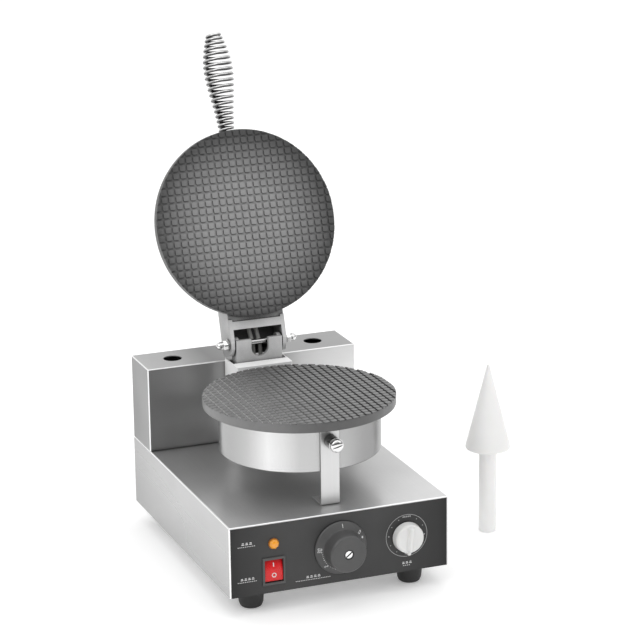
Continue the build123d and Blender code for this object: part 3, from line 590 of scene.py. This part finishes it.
SHADOW = plastic("painted_recess_shade", g(0.012), g(0.02), (0.5, 0.6), 2500.0, 0.05, 0.0)
INSUL = plastic("mineral_fibre", (0.66, 0.63, 0.52), (0.78, 0.76, 0.66), (0.8, 0.95), 500.0, 1.0)
COPPER = cast("copper_tube", (0.55, 0.26, 0.16), (0.70, 0.38, 0.25), (0.3, 0.4))
WIRE = plastic("wire_sleeve", (0.42, 0.40, 0.34), (0.52, 0.50, 0.43), (0.6, 0.75))


def panel_material():
    # painted front: darker towards both ends as painted shade, faint cloudy variation and fine texture
    m, nt, b = new_mat("panel_face")
    n1 = noise(nt, coords(nt), 1800.0, 2.0, 0.5)
    n2 = noise(nt, coords(nt), 18.0, 3.0, 0.5)
    col = tint(nt, mrange(nt, n2, 0.3, 0.7, 0, 1), g(0.048), g(0.058))
    col = zone(nt, col, "z", 0, 900, "x", [(-125, 0.22), (-112, 0.50), (-80, 0.85), (-30, 1.0), (40, 0.95), (85, 0.62), (112, 0.42), (125, 0.16)])
    nt.links.new(col, b.inputs["Base Color"])
    nt.links.new(mrange(nt, n1, 0.3, 0.7, 0.34, 0.42), b.inputs["Roughness"])
    b.inputs["Specular IOR Level"].default_value = 0.35
    bump(nt, b, n1, 0.12, 0.00008, 0.0003)
    return m


PANEL = panel_material()


def braid(name):
    m, nt, b = new_mat(name)
    v = coords(nt, (1, 1, 1))
    w1 = nt.nodes.new("ShaderNodeTexWave"); w1.wave_type = "BANDS"; w1.bands_direction = "DIAGONAL"
    w1.inputs["Scale"].default_value = 420.0; w1.inputs["Distortion"].default_value = 0.5
    nt.links.new(v, w1.inputs["Vector"])
    n2 = noise(nt, v, 900.0, 3.0)
    nt.links.new(tint(nt, w1.outputs["Fac"], (0.30, 0.30, 0.29), (0.55, 0.55, 0.53)), b.inputs["Base Color"])
    nt.links.new(mrange(nt, n2, 0.3, 0.7, 0.55, 0.75), b.inputs["Roughness"])
    bump(nt, b, w1.outputs["Fac"], 0.5, 0.0002)
    return m


BRAID = braid("lead_braid")

NODE_MAT = {
    "base_housing": STEEL_BASE, "bottom_plate": STEEL_PLAIN, "front_panel": PANEL, "rubber_feet": RUBBER, "foot_screws": ZINC, "foot_nuts": ZINC,
    "rear_housing": STEEL_HOUSING, "housing_screws": ZINC, "rear_cover": STEEL_REAR, "rear_screws": ZINC, "hinge_column_cover": STEEL_COLUMN,
    "lower_hinge_bracket": ALU, "bracket_bolts": ZINC, "base_hex_nuts": ZINC, "lower_plate": COATING, "lower_plate_bolts": ZINC, "lower_heater": STEEL_DARK,
    "lower_heater_clamp": ZINC, "lower_insulation": INSUL, "lower_drum": STEEL_DRUM, "lower_drum_stud": ZINC, "support_strip": STEEL_STRIP,
    "support_bush": GLOSS_BLACK, "support_bolt": CHROME, "support_washer": CHROME, "strip_screw": ZINC, "pilot_lens": AMBER, "pilot_body": BLACK,
    "switch_housing": BEZEL, "switch_rocker": RED, "thermostat_body": ZINC, "thermostat_shaft": ZINC, "temperature_knob": KNOB,
    "temperature_knob_screw": CHROME, "thermostat_bulb": COPPER, "timer_body": ZINC, "timer_shaft": ZINC, "timer_knob": WHITE_KNOB,
    "terminal_block": WHITE_PLASTIC, "cable_gland": BLACK, "gland_nut": BLACK, "internal_wiring": WIRE, "heater_lead_sleeves": BRAID,
    "upper_plate": COATING, "lid_arm": ALU_ARM, "lid_arm_bolts": ZINC, "hinge_pin": CHROME, "hinge_acorn_nuts": CHROME, "hinge_washers": CHROME,
    "upper_heater": STEEL_DARK, "upper_heater_clamp": ZINC, "upper_insulation": INSUL, "upper_cover": STEEL_DRUM, "upper_cover_stud": ZINC,
    "lid_hex_nuts": ZINC, "handle_ferrule": CHROME, "handle_coil": COIL, "former_cone": FORMER, "former_handle": FORMER,
}
for n, o in NODES.items():
    m = NODE_MAT[n]
    if not o.data.materials:
        o.data.materials.append(m)
    for i in range(len(o.data.materials)):
        o.data.materials[i] = m


# ------------------------------------------------------------------ baking plates
def grid_plate(name, body, node, to_world, pads, floor_mat, deep, wall, down, seg=256):
    """Round plate with a square grid of raised pads, grooves running out through the rim. Local z = 0 is the pad tops."""
    R, PITCH, PAD, DEEP = PLATE_R, 8.4, 6.9, deep
    parts = []
    prof = [(0, -PLATE_T), (R - 0.7, -PLATE_T), (R - 0.2, -PLATE_T + 0.2), (R, -PLATE_T + 0.7), (R, -DEEP), (0, -DEEP)]
    disc = lathe(prof, seg)
    parts.append(disc)
    floor_faces = set(range(4 * seg, 5 * seg))
    n = int(R // PITCH) + 1
    for i in range(-n, n + 1):
        for j in range(-n, n + 1):
            x, y = i * PITCH, j * PITCH
            if math.hypot(abs(x) - PAD / 2, abs(y) - PAD / 2) > R:
                continue
            poly = rrect(PAD, PAD, 1.7, 3, x, y)
            top = clip_circle(poly, R, seg)
            if len(top) < 3:
                continue
            area = abs(sum(top[k][0] * top[(k + 1) % len(top)][1] - top[(k + 1) % len(top)][0] * top[k][1] for k in range(len(top)))) / 2
            if area < 1.2:
                continue
            nn = len(top)
            cxp = sum(p[0] for p in top) / nn; cyp = sum(p[1] for p in top) / nn
            def ring(scale, z):
                out = []
                for px, py in top:
                    dx, dy = px - cxp, py - cyp
                    d = math.hypot(dx, dy) or 1
                    k = max((d - scale) / d, 0.2)
                    out.append(Vector((cxp + dx * k, cyp + dy * k, z)))
                return out
            V = ring(0.0, -DEEP) + ring(0.10, -0.42) + ring(0.26, -0.14) + ring(0.62, 0.0)
            F = []
            for lay in range(3):
                for k in range(nn):
                    k2 = (k + 1) % nn
                    F.append((lay * nn + k, lay * nn + k2, (lay + 1) * nn + k2, (lay + 1) * nn + k))
            F.append(tuple(3 * nn + k for k in range(nn)))
            parts.append((V, F))
    V, F = join(parts)
    V = [to_world(v) for v in V]
    ob = mesh_piece(name, V, F, pads, body, [node], angle=50.0, recalc=False)
    ob.data.materials.append(floor_mat)
    ob.data.materials.append(wall)
    o = to_world(Vector((0, 0, 0)))
    ex, ey = (to_world(Vector((1000, 0, 0))) - o).normalized(), (to_world(Vector((0, 1000, 0))) - o).normalized()
    # groove floors take floor_mat and the flanks picked by down take wall: painted shade, and on the lower plate
    # painted glints
    for p in ob.data.polygons:
        if p.index in floor_faces:
            p.material_index = 1
        elif p.index >= 6 * seg and len(p.vertices) == 4:
            nx, ny = p.normal.dot(ex), p.normal.dot(ey)
            d = p.center - o
            if down(nx, ny) and math.hypot(d.dot(ex), d.dot(ey)) * 1000 < R - 0.8:
                p.material_index = 2
    return ob


lower = grid_plate("lower_plate_grid", "base", "lower_plate", lambda v: W(v.x, PLATE_Y + v.y, PLATE_TOP + v.z), COATING, GROOVE, 1.2, WALL,
                   lambda nx, ny: abs(nx) > 0.45)
upper = grid_plate("upper_plate_grid", "lid", "upper_plate", lambda v: L(v.x, S_C + v.y, O_FACE + v.z), COATING_UP, GROOVE_UP, 1.4, WALL_UP,
                   lambda nx, ny: ny < -0.30 or (abs(nx) > 0.75 and ny < 0.3))

# ------------------------------------------------------------------ small parts
def boolean(ob, cut_v, cut_f):
    """cut a closed form out of a piece, and keep the result as its mesh"""
    me = bpy.data.meshes.new("cutter"); me.from_pydata([tuple(v) for v in cut_v], [], cut_f)
    bm = bmesh.new(); bm.from_mesh(me); bmesh.ops.recalc_face_normals(bm, faces=bm.faces); bm.to_mesh(me); bm.free()
    c = bpy.data.objects.new("cutter", me); bpy.context.scene.collection.objects.link(c)
    md = ob.modifiers.new("cut", "BOOLEAN"); md.operation = "DIFFERENCE"; md.solver = "EXACT"; md.object = c
    bpy.context.view_layer.update()
    ev = ob.evaluated_get(bpy.context.evaluated_depsgraph_get())
    new = bpy.data.meshes.new_from_object(ev)
    ob.modifiers.clear()
    mats = list(ob.data.materials)
    ob.data = new
    if not new.materials:
        for m in mats:
            new.materials.append(m)
    bpy.data.objects.remove(c); smooth(ob.data, 30)


def oriented(V, R):
    return [R @ Vector(v) for v in V]


RX = Matrix(((0, 0, 1), (1, 0, 0), (0, 1, 0)))       # local +Z to +X
RXN = Matrix(((0, 0, -1), (-1, 0, 0), (0, 1, 0)))    # local +Z to -X
UP = Matrix.Identity(3)

# temperature knob: skirt, tapered grip and dished cap round the screw
kp = rounded([(3.0, 0.1), (29.3, 0.1), (29.5, 1.2), (28.4, 2.4), (21.9, 6.2), (21.4, 7.2), (20.5, 22.6), (19.0, 24.4), (5.6, 24.4), (4.9, 23.8), (4.9, 22.2), (3.0, 22.2)],
             {1: 0.3, 2: 0.6, 3: 0.9, 4: 0.9, 5: 0.4, 6: 1.6, 7: 0.8, 8: 0.3})
KV, KF = lathe(kp, 128)
knob = mesh_piece("temperature_knob_body", place(KV, (0, YF - 0.8, KNOB_Z), FRONT), KF, KNOB, "temperature_dial", ["temperature_knob"])
scp = rounded([(0, 0.0), (4.6, 0.0), (4.6, 1.7), (4.1, 2.2), (0, 2.5)], {2: 0.4, 3: 0.5})
SV, SF = lathe(scp, 48)
screw = mesh_piece("knob_screw_head", place(SV, (0, YF - 0.8 - 21.8, KNOB_Z), FRONT), SF, CHROME_BRIGHT, "temperature_dial", ["temperature_knob_screw"])
cv, cf = prism(rrect(12, 1.5, 0.1, 1), 1.2, 4.0)
rot = Matrix.Rotation(math.radians(38), 3, "Z")
boolean(screw, place([rot @ v for v in cv], (0, YF - 0.8 - 21.8, KNOB_Z), FRONT), cf)
# a dark ring round the knob's screw head: a painted shadow
ringp = rounded([(4.85, 23.4), (5.6, 23.4), (5.6, 24.34), (5.3, 24.38), (4.85, 24.3)], {})
RV, RF = lathe(ringp + [ringp[0]], 64)
mesh_piece("knob_screw_shadow_ring", place(RV, (0, YF - 0.8, KNOB_Z), FRONT), RF, SHADOW, "temperature_dial")

# timer knob: low drum, straight grip ridge, pointer nub
TREST = math.radians(-4.0)
tp = rounded([(3.0, 0.1), (16.4, 0.1), (16.6, 1.4), (15.9, 9.0), (14.4, 10.6), (0, 10.6)], {1: 0.3, 2: 0.5, 3: 1.2, 4: 0.9})
TV, TF = lathe([(0, 0.1)] + tp, 128)


def wedge(w0, w1, l0, l1, z0, z1, k=5):
    base_, top_ = rrect(w0, l0, w0 / 2 - 0.05, k), rrect(w1, l1, w1 / 2 - 0.05, k)
    n = len(base_)
    V, F = [], [tuple(range(n))[::-1]]
    rows = 5
    for r in range(rows):
        t = r / (rows - 1)
        e = math.sin(t * math.pi / 2)
        z = z0 + (z1 - z0) * (t if r < rows - 1 else 1)
        q = 1 - (1 - t) ** 1.0
        for (ax, ay), (bx, by) in zip(base_, top_):
            m = q ** 2.2
            V.append(Vector((ax + (bx - ax) * m, ay + (by - ay) * m, z)))
    for r in range(rows - 1):
        for i in range(n):
            j = (i + 1) % n
            F.append((r * n + i, r * n + j, (r + 1) * n + j, (r + 1) * n + i))
    F.append(tuple((rows - 1) * n + i for i in range(n)))
    return V, F


gv, gf = wedge(7.4, 3.2, 29.4, 27.0, 10.2, 14.4)
nv, nf = wedge(4.8, 3.6, 6.4, 5.2, 0.6, 10.5)
nv = [v + Vector((0, -15.4, 0)) for v in nv]
TV2, TF2 = join([(TV, TF), (gv, gf), (nv, nf)])
rt = Matrix.Rotation(TREST, 3, "Z")
mesh_piece("timer_knob_body", place([rt @ v for v in TV2], (TIMER_X, YF - 0.8, TIMER_Z), FRONT), TF2, WHITE_KNOB, "timer_dial", ["timer_knob"], recalc=False)

# pilot lamp: flange and eight-sided jewel
lv, lf = lathe(rounded([(0, 0.05), (5.9, 0.05), (5.9, 1.5), (5.3, 1.9), (0, 1.9)], {2: 0.3, 3: 0.2}), 64)
jv, jf = lathe([(0, 1.8), (5.35, 1.8), (5.15, 3.4), (3.9, 5.0), (2.0, 5.7), (0, 5.8)], 8)
rj = Matrix.Rotation(math.radians(12), 3, "Z")
mesh_piece("pilot_flange", place(lv, (PILOT_X, YF, PILOT_Z), FRONT), lf, AMBER_DARK, "base", ["pilot_lens"])
mesh_piece("pilot_jewel", place([rj @ v for v in jv], (PILOT_X, YF, PILOT_Z), FRONT), jf, AMBER, "base", angle=12.0)

# rocker: two dished halves with soft edges, on its tilt
RT = Matrix.Rotation(math.radians(-8.0), 3, "X")


def rocker_mesh():
    prof = []
    n = 10
    for i in range(n + 1):                                   # front, top to bottom, dished either side of the middle
        z = 11.7 - 23.4 * i / n
        prof.append((-3.1 - 1.45 * math.cos(min(abs(z) / 11.7, 1) * math.pi / 2) ** 0.9, z))
    back = [(-1.2, -11.9), (3.0, -7.5), (3.4, 0), (3.0, 7.5), (-1.2, 11.9)]
    loop = prof + back
    V, F = [], []
    xs = [(-10.05, 0.45), (-9.6, 0.0), (9.6, 0.0), (10.05, 0.45)]
    for x, inset in xs:
        for y, z in loop:
            k = 1 - inset / 12
            V.append(RT @ Vector((x, y * (1 if inset == 0 else 0.93), z * k)))
    m = len(loop)
    for a_ in range(3):
        for i in range(m):
            j = (i + 1) % m
            F.append((a_ * m + i, a_ * m + j, (a_ + 1) * m + j, (a_ + 1) * m + i))
    F.append(tuple(range(m))[::-1]); F.append(tuple(3 * m + i for i in range(m)))
    return V, F


rv, rf = rocker_mesh()
mesh_piece("rocker_face", place(rv, (SWITCH_X, YF + 4.0, SWITCH_Z)), rf, RED, "rocker", ["switch_rocker"], angle=40)


def on_rocker(poly, z0):
    """flat mark laid on the rocker's front at height z0 (local)"""
    V, F = [], []
    for x, z in poly:
        zz = z0 + z
        y = -3.1 - 1.45 * math.cos(min(abs(zz) / 11.7, 1) * math.pi / 2) ** 0.9
        V.append(RT @ Vector((x, y - 0.07, zz)))
    for x, z in poly:
        zz = z0 + z
        y = -3.1 - 1.45 * math.cos(min(abs(zz) / 11.7, 1) * math.pi / 2) ** 0.9
        V.append(RT @ Vector((x, y + 0.10, zz)))
    n = len(poly)
    F.append(tuple(range(n))); F.append(tuple(range(n, 2 * n))[::-1])
    for i in range(n):
        j = (i + 1) % n
        F.append((i, n + i, n + j, j))
    return V, F


iv, if_ = on_rocker(rrect(1.1, 4.4, 0.3, 2), 6.0)
mesh_piece("rocker_mark_on", place(iv, (SWITCH_X, YF + 4.0, SWITCH_Z)), if_, PRINT, "rocker")
parts = []
for k in range(24):
    a0, a1 = 2 * math.pi * k / 24, 2 * math.pi * (k + 1) / 24
    parts.append(on_rocker([(r * math.cos(a), r * math.sin(a)) for r, a in ((1.7, a0), (2.6, a0), (2.6, a1), (1.7, a1))], -5.4))
ov, of_ = join(parts)
mesh_piece("rocker_mark_off", place(ov, (SWITCH_X, YF + 4.0, SWITCH_Z)), of_, PRINT, "rocker")

# acorn nuts: chamfered hexagon, plain collar and dome
hexp = [(5.77 * math.cos(math.radians(60 * k + 30)), 5.77 * math.sin(math.radians(60 * k + 30))) for k in range(6)]
for sx, R in ((-1, RXN), (1, RX)):
    hv, hf = prism(hexp, 0.05, 5.6, 0.5)
    dome = [(0, 5.2), (4.55, 5.2), (4.6, 7.6)] + [(4.6 * math.cos(math.radians(t)), 7.8 + 5.7 * math.sin(math.radians(t))) for t in range(6, 90, 7)] + [(0, 13.5)]
    dv, df = lathe(dome, 48)
    V, F = join([(hv, hf), (dv, df)])
    V = [L(sx * 34.6, 0, 0) + LID_M.to_3x3() @ (R @ Vector(v)) / 1000 for v in V]
    mesh_piece("acorn_nut_" + ("left" if sx < 0 else "right"), V, F, CHROME_BRIGHT, "lid", ["hinge_acorn_nuts"] if sx < 0 else ["hinge_acorn_nuts"], angle=28, recalc=False)

# support bolt: domed slotted head, shank through the washer
hp = [(0, 0.02), (6.5, 0.02), (6.95, 0.4), (7.0, 1.2), (7.0, 2.6)] + [(7.0 * math.cos(math.radians(t)) , 2.6 + 2.8 * math.sin(math.radians(t))) for t in range(8, 90, 8)] + [(0, 5.4)]
bv, bf = lathe(hp, 72)
sv, sf = lathe([(0, -27.0), (2.7, -27.0), (2.95, -26.6), (2.95, 0.3), (0, 0.3)], 32)
head = mesh_piece("support_bolt_head", place(bv, (0, -153.8, 172.7), FRONT), bf, CHROME_BRIGHT, "base", ["support_bolt"])
cv, cf = prism(rrect(20, 1.35, 0.1, 1), 3.9, 9.0)
rot = Matrix.Rotation(math.radians(14), 3, "Z")
boolean(head, place([rot @ v for v in cv], (0, -153.8, 172.7), FRONT), cf)
mesh_piece("support_bolt_shank", place(sv, (0, -153.8, 172.7), FRONT), sf, ZINC, "base")
wv, wf = lathe(rounded([(3.05, 0.02), (8.1, 0.02), (8.2, 0.65), (8.1, 1.28), (3.05, 1.28)], {}) + [(3.05, 0.02)], 72)
mesh_piece("support_washer_ring", place(wv, (0, -152.5, 172.7), FRONT), wf, CHROME_BRIGHT, "base", ["support_washer"], angle=40)

# feet: turned rubber with a soft lower lip
fp = rounded([(2.1, 22.4), (14.2, 22.4), (14.0, 14.0), (13.2, 5.0), (11.6, 1.0), (10.1, 0.0), (5.0, 0.0), (5.0, 10.0), (2.1, 10.0)], {1: 0.5, 4: 1.0, 5: 0.5})
parts = []
for x in (-91.3, 91.3):
    for y in (-133.3, 133.3):
        v, f = lathe(fp + [fp[0]], 64)
        parts.append(([u + Vector((x, y, 0)) for u in v], f))
fv, ff = join(parts)
mesh_piece("rubber_feet_turned", [W(v.x, v.y, v.z) for v in fv], ff, RUBBER, "base", ["rubber_feet"])

# heater leads: two braided sleeves that bend round the hinge pin
for k, x in enumerate((-3.6, 4.8)):
    y = 93.7
    pts = []
    for t in range(0, 15):
        f = t / 14
        pts.append(Vector((x + 2.6 * f, 88 + 5.7 * (f * f * (3 - 2 * f)), 132 + (196 - 132) * f)))
    pts += [Vector((x + 2.6 - 1.3 * t / 8, y, 196 + (214 - 196) * t / 8)) for t in range(1, 9)]
    c_, s_ = math.cos(TILT), math.sin(TILT)
    e0, e1 = Vector((x + 1.15, y + 0.05, 216.0)), Vector((x - 2.4, 87.5 + 20 * s_ + 6.2 * c_, 219.7 + 20 * c_ - 6.2 * s_))
    pts += [e0.lerp(e1, t / 12) for t in range(0, 13)]
    P = [W(p.x, p.y, p.z) for p in pts]
    vv, ff = tube_mesh(P, 0.00235, 20)
    ob = mesh_piece("heater_sleeve_%d" % (k + 1), vv, ff, BRAID, "base", angle=60, ride=False)
    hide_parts("heater_lead_sleeves")
    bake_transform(ob)


# ------------------------------------------------------------------ printed marks, all generic
def print_plane(shapes, name, y=YF, mat=None, body="base", t=0.035):
    """flat outlines in plan x and z, a hair proud of the panel"""
    parts = []
    for poly in shapes:
        n = len(poly)
        V = [Vector((a, y - t, b)) for a, b in poly] + [Vector((a, y + 0.02, b)) for a, b in poly]
        F = [tuple(range(n)), tuple(range(n, 2 * n))[::-1]] + [(i, n + i, n + (i + 1) % n, (i + 1) % n) for i in range(n)]
        parts.append((V, F))
    V, F = join(parts)
    return mesh_piece(name, [W(v.x, v.y, v.z) for v in V], F, mat or PRINT, body, angle=20)


def bar(x0, x1, z0, z1, r=0.15):
    return rrect(x1 - x0, z1 - z0, min(r, (x1 - x0) / 2.2, (z1 - z0) / 2.2), 2, (x0 + x1) / 2, (z0 + z1) / 2)


def label(cx_, cz_, blocks, bw, row, rh=0.75, gap=1.2):
    """a row of small plain blocks over a row of short dashes"""
    out = []
    tot = blocks * bw + (blocks - 1) * gap
    for k in range(blocks):
        x0 = cx_ - tot / 2 + k * (bw + gap)
        out.append(bar(x0, x0 + bw, cz_ + 0.6, cz_ + 0.6 + bw * 0.28))
        out.append(bar(x0 + bw * 0.15, x0 + bw * 0.85, cz_ + 0.6 + bw * 0.5, cz_ + 0.6 + bw * 0.78))
    n = max(3, int(row / 1.9))
    for k in range(n):
        x0 = cx_ - row / 2 + row * k / n
        out.append(bar(x0, x0 + row / n * 0.55, cz_ - 1.8, cz_ - 1.8 + rh, 0.1))
    return out


ZB = 22.5
marks = []
marks += label(-105.0, 57.0 + ZB, 3, 3.1, 20.0)
marks += label(-104.8, 17.6 + ZB, 4, 2.9, 22.0)
marks += label(-31.0, 9.4 + ZB, 4, 3.1, 40.0)
marks += label(76.5, 8.3 + ZB, 3, 2.9, 8.6)
print_plane(marks, "panel_marks")

# timer ring: fine circle, minute dots and short ticks
def arc_band(cx_, cz_, r0, r1, a0, a1, n=96):
    out = []
    for k in range(n):
        t0 = math.radians(a0 + (a1 - a0) * k / n); t1 = math.radians(a0 + (a1 - a0) * (k + 1) / n)
        out.append([(cx_ + r0 * math.sin(t0), cz_ + r0 * math.cos(t0)), (cx_ + r1 * math.sin(t0), cz_ + r1 * math.cos(t0)),
                    (cx_ + r1 * math.sin(t1), cz_ + r1 * math.cos(t1)), (cx_ + r0 * math.sin(t1), cz_ + r0 * math.cos(t1))])
    return out


def dot(cx_, cz_, r, k=10):
    return [(cx_ + r * math.cos(2 * math.pi * i / k), cz_ + r * math.sin(2 * math.pi * i / k)) for i in range(k)]


def band_mesh(name, cx_, cz_, r0, r1, a0, a1, n, mat, y=YF, body="base", t=0.035):
    V, F = [], []
    full = abs(a1 - a0) >= 359.9
    rows = n if full else n + 1
    for k in range(rows):
        tt = math.radians(a0 + (a1 - a0) * k / n)
        for r, yy in ((r0, y - t), (r1, y - t), (r1, y + 0.02), (r0, y + 0.02)):
            V.append(W(cx_ + r * math.sin(tt), yy, cz_ + r * math.cos(tt)))
    for k in range(n):
        a_, b_ = 4 * k, 4 * ((k + 1) % rows)
        for i in range(4):
            j = (i + 1) % 4
            F.append((a_ + i, a_ + j, b_ + j, b_ + i))
    if not full:
        F.append((0, 1, 2, 3)); F.append(tuple(4 * n + i for i in (3, 2, 1, 0)))
    return mesh_piece(name, V, F, mat, body, angle=20)


TCX, TCZ = TIMER_X + 0.2, TIMER_Z + 0.8
band_mesh("timer_ring", TCX, TCZ, 23.4, 23.9, 0, 360, 128, PRINT_MID)
dots = []
for k in range(1, 12):
    a_ = math.radians(30 * k + 4)
    dots.append(dot(TCX + 20.6 * math.sin(a_), TCZ + 20.6 * math.cos(a_), 0.55 if k % 3 else 0.8))
for k in range(5):
    dots.append(bar(TCX - 4.6 + k * 2.0, TCX - 4.6 + k * 2.0 + 1.3, TCZ + 20.6, TCZ + 22.2, 0.1))
print_plane(dots, "timer_marks", mat=PRINT_MID)

# temperature scale, on the knob's skirt
def on_skirt(poly, r_mid, ang):
    """outline (tangent, radial) laid on the skirt's cone at a radius, ang clockwise from the top"""
    V = []
    for lift in (0.10, -0.05):
        for tx, rr in poly:
            r = r_mid + rr
            h = 2.4 + (28.4 - r) * (6.2 - 2.4) / (28.4 - 21.9) + lift
            a_ = ang + tx / r
            V.append(Vector((r * math.sin(a_), r * math.cos(a_), h)))
    n = len(poly)
    F = [tuple(range(n)), tuple(range(n, 2 * n))[::-1]] + [(i, n + i, n + (i + 1) % n, (i + 1) % n) for i in range(n)]
    return V, F


def digit(ch):
    seg = {"a": (-0.8, 0.8, 1.5, 2.0), "g": (-0.8, 0.8, -0.25, 0.25), "d": (-0.8, 0.8, -2.0, -1.5),
           "f": (-1.05, -0.55, 0.1, 1.8), "b": (0.55, 1.05, 0.1, 1.8), "e": (-1.05, -0.55, -1.8, -0.1), "c": (0.55, 1.05, -1.8, -0.1), "m": (-0.3, 0.3, -2.0, 2.0)}
    return [rrect(seg[k][1] - seg[k][0], seg[k][3] - seg[k][2], 0.12, 1, (seg[k][0] + seg[k][1]) / 2, (seg[k][2] + seg[k][3]) / 2)
            for k in {"0": "abcdef", "1": "m", "2": "abged", "3": "abgcd", "5": "afgcd"}[ch]]


parts = []
for ch, ang, dx in (("1", 2, 0.0), ("0", 52, 0.0), ("3", 272, -1.6), ("0", 272, 1.6), ("2", 226, 0.0)):
    for q in digit(ch):
        parts.append(on_skirt([(x + dx, z) for x, z in q], 25.3, math.radians(ang)))
for k in range(16):
    ang = 178 + (262 - 178) * k / 15
    if abs(ang - 226) < 5:
        continue
    parts.append(on_skirt(dot(0, 0, 0.34 if k % 4 else 0.55, 8), 23.0, math.radians(ang)))
parts.append(on_skirt(rrect(2.2, 2.0, 0.5, 2), 25.0, math.radians(68)))
sv_, sf_ = join(parts)
mesh_piece("temperature_scale", place(sv_, (0, YF - 0.8, KNOB_Z), FRONT), sf_, PRINT, "temperature_dial", angle=20)

# ------------------------------------------------------------------ camera
def camera():
    az, el, roll = math.radians(-21.13), math.radians(16.464), math.radians(-0.762)
    back = Vector((math.sin(az) * math.cos(el), -math.cos(az) * math.cos(el), math.sin(el)))
    right = Vector((math.cos(az), math.sin(az), 0))
    up = back.cross(right)
    r2 = right * math.cos(roll) + up * math.sin(roll)
    u2 = -right * math.sin(roll) + up * math.cos(roll)
    target = W(37.917, 0, 263.575)
    cam = bpy.data.cameras.new("camera")
    ob = bpy.data.objects.new("camera", cam)
    bpy.context.scene.collection.objects.link(ob)
    M = Matrix((r2, u2, back)).transposed().to_4x4()
    M.translation = target + back * 2.910329
    ob.matrix_world = M
    cam.sensor_width = 36.0
    cam.lens = 2655.438 / 640 * 36
    cam.shift_x = (320 - 315.585) / 640
    cam.shift_y = -(320 - 320.323) / 640
    cam.clip_end = 60
    bpy.context.scene.camera = ob
    return ob, back, r2, u2


cam, cback, cright, cup = camera()

# ------------------------------------------------------------------ floor, light
def floor():
    me = bpy.data.meshes.new("floor")
    S = 14.0
    me.from_pydata([(-S, -S, -0.0002), (S, -S, -0.0002), (S, S, -0.0002), (-S, S, -0.0002)], [], [(0, 1, 2, 3)])
    o = bpy.data.objects.new("floor", me)
    bpy.context.scene.collection.objects.link(o)
    m, nt, b = new_mat("floor_paper")
    n = noise(nt, coords(nt), 3.0, 3.0)
    nt.links.new(tint(nt, n, g(0.90), g(0.93)), b.inputs["Base Color"])
    b.inputs["Emission Strength"].default_value = 0.22
    b.inputs["Roughness"].default_value = 0.9
    b.inputs["Specular IOR Level"].default_value = 0.1
    b.inputs["Emission Color"].default_value = (1, 1, 1, 1)
    me.materials.append(m)
    return o


floor()


def area(name, loc, target, size, power, sy=None):
    l = bpy.data.lights.new(name, "AREA")
    l.energy = power
    l.size = size
    if sy:
        l.shape = "RECTANGLE"; l.size_y = sy
    o = bpy.data.objects.new(name, l)
    bpy.context.scene.collection.objects.link(o)
    d = Vector(target) - Vector(loc)
    o.matrix_world = Matrix.Translation(loc) @ d.to_track_quat("-Z", "Y").to_matrix().to_4x4()
    return o


area("key_left", (-1.8, -1.2, 1.7), (0, 0, 0.2), 1.5, 9)
area("fill_right", (1.7, -1.6, 1.2), (0, 0, 0.2), 1.4, 4)
area("top", (0, 0.1, 2.3), (0, 0, 0.1), 2.0, 8)

world = bpy.data.worlds.new("studio")
bpy.context.scene.world = world
world.use_nodes = True
nt = world.node_tree
bg = nt.nodes["Background"]
tc = nt.nodes.new("ShaderNodeTexCoord")
sep = nt.nodes.new("ShaderNodeSeparateXYZ")
nt.links.new(tc.outputs["Generated"], sep.inputs[0])
# bright overhead, a grey wall behind, and dark flags low down in front and to the sides
front = mrange(nt, sep.outputs[1], -0.55, 0.35, 0, 1)
low = ramp(nt, front, [(0.0, 0.10), (0.45, 0.22), (1.0, 0.80)])
up_ = ramp(nt, mrange(nt, sep.outputs[2], 0.0, 1.0, 0, 1), [(0.0, 0.0), (0.30, 0.05), (0.55, 0.9), (1.0, 1.0)])
mixw = nt.nodes.new("ShaderNodeMix"); mixw.data_type = "RGBA"
nt.links.new(up_, mixw.inputs[0])
nt.links.new(low, mixw.inputs[6]); mixw.inputs[7].default_value = (1.05, 1.05, 1.05, 1)
nt.links.new(mixw.outputs[2], bg.inputs[0])
bg.inputs[1].default_value = 1.0

vs = bpy.context.scene.view_settings
vs.view_transform = "Standard"
vs.look = "None"
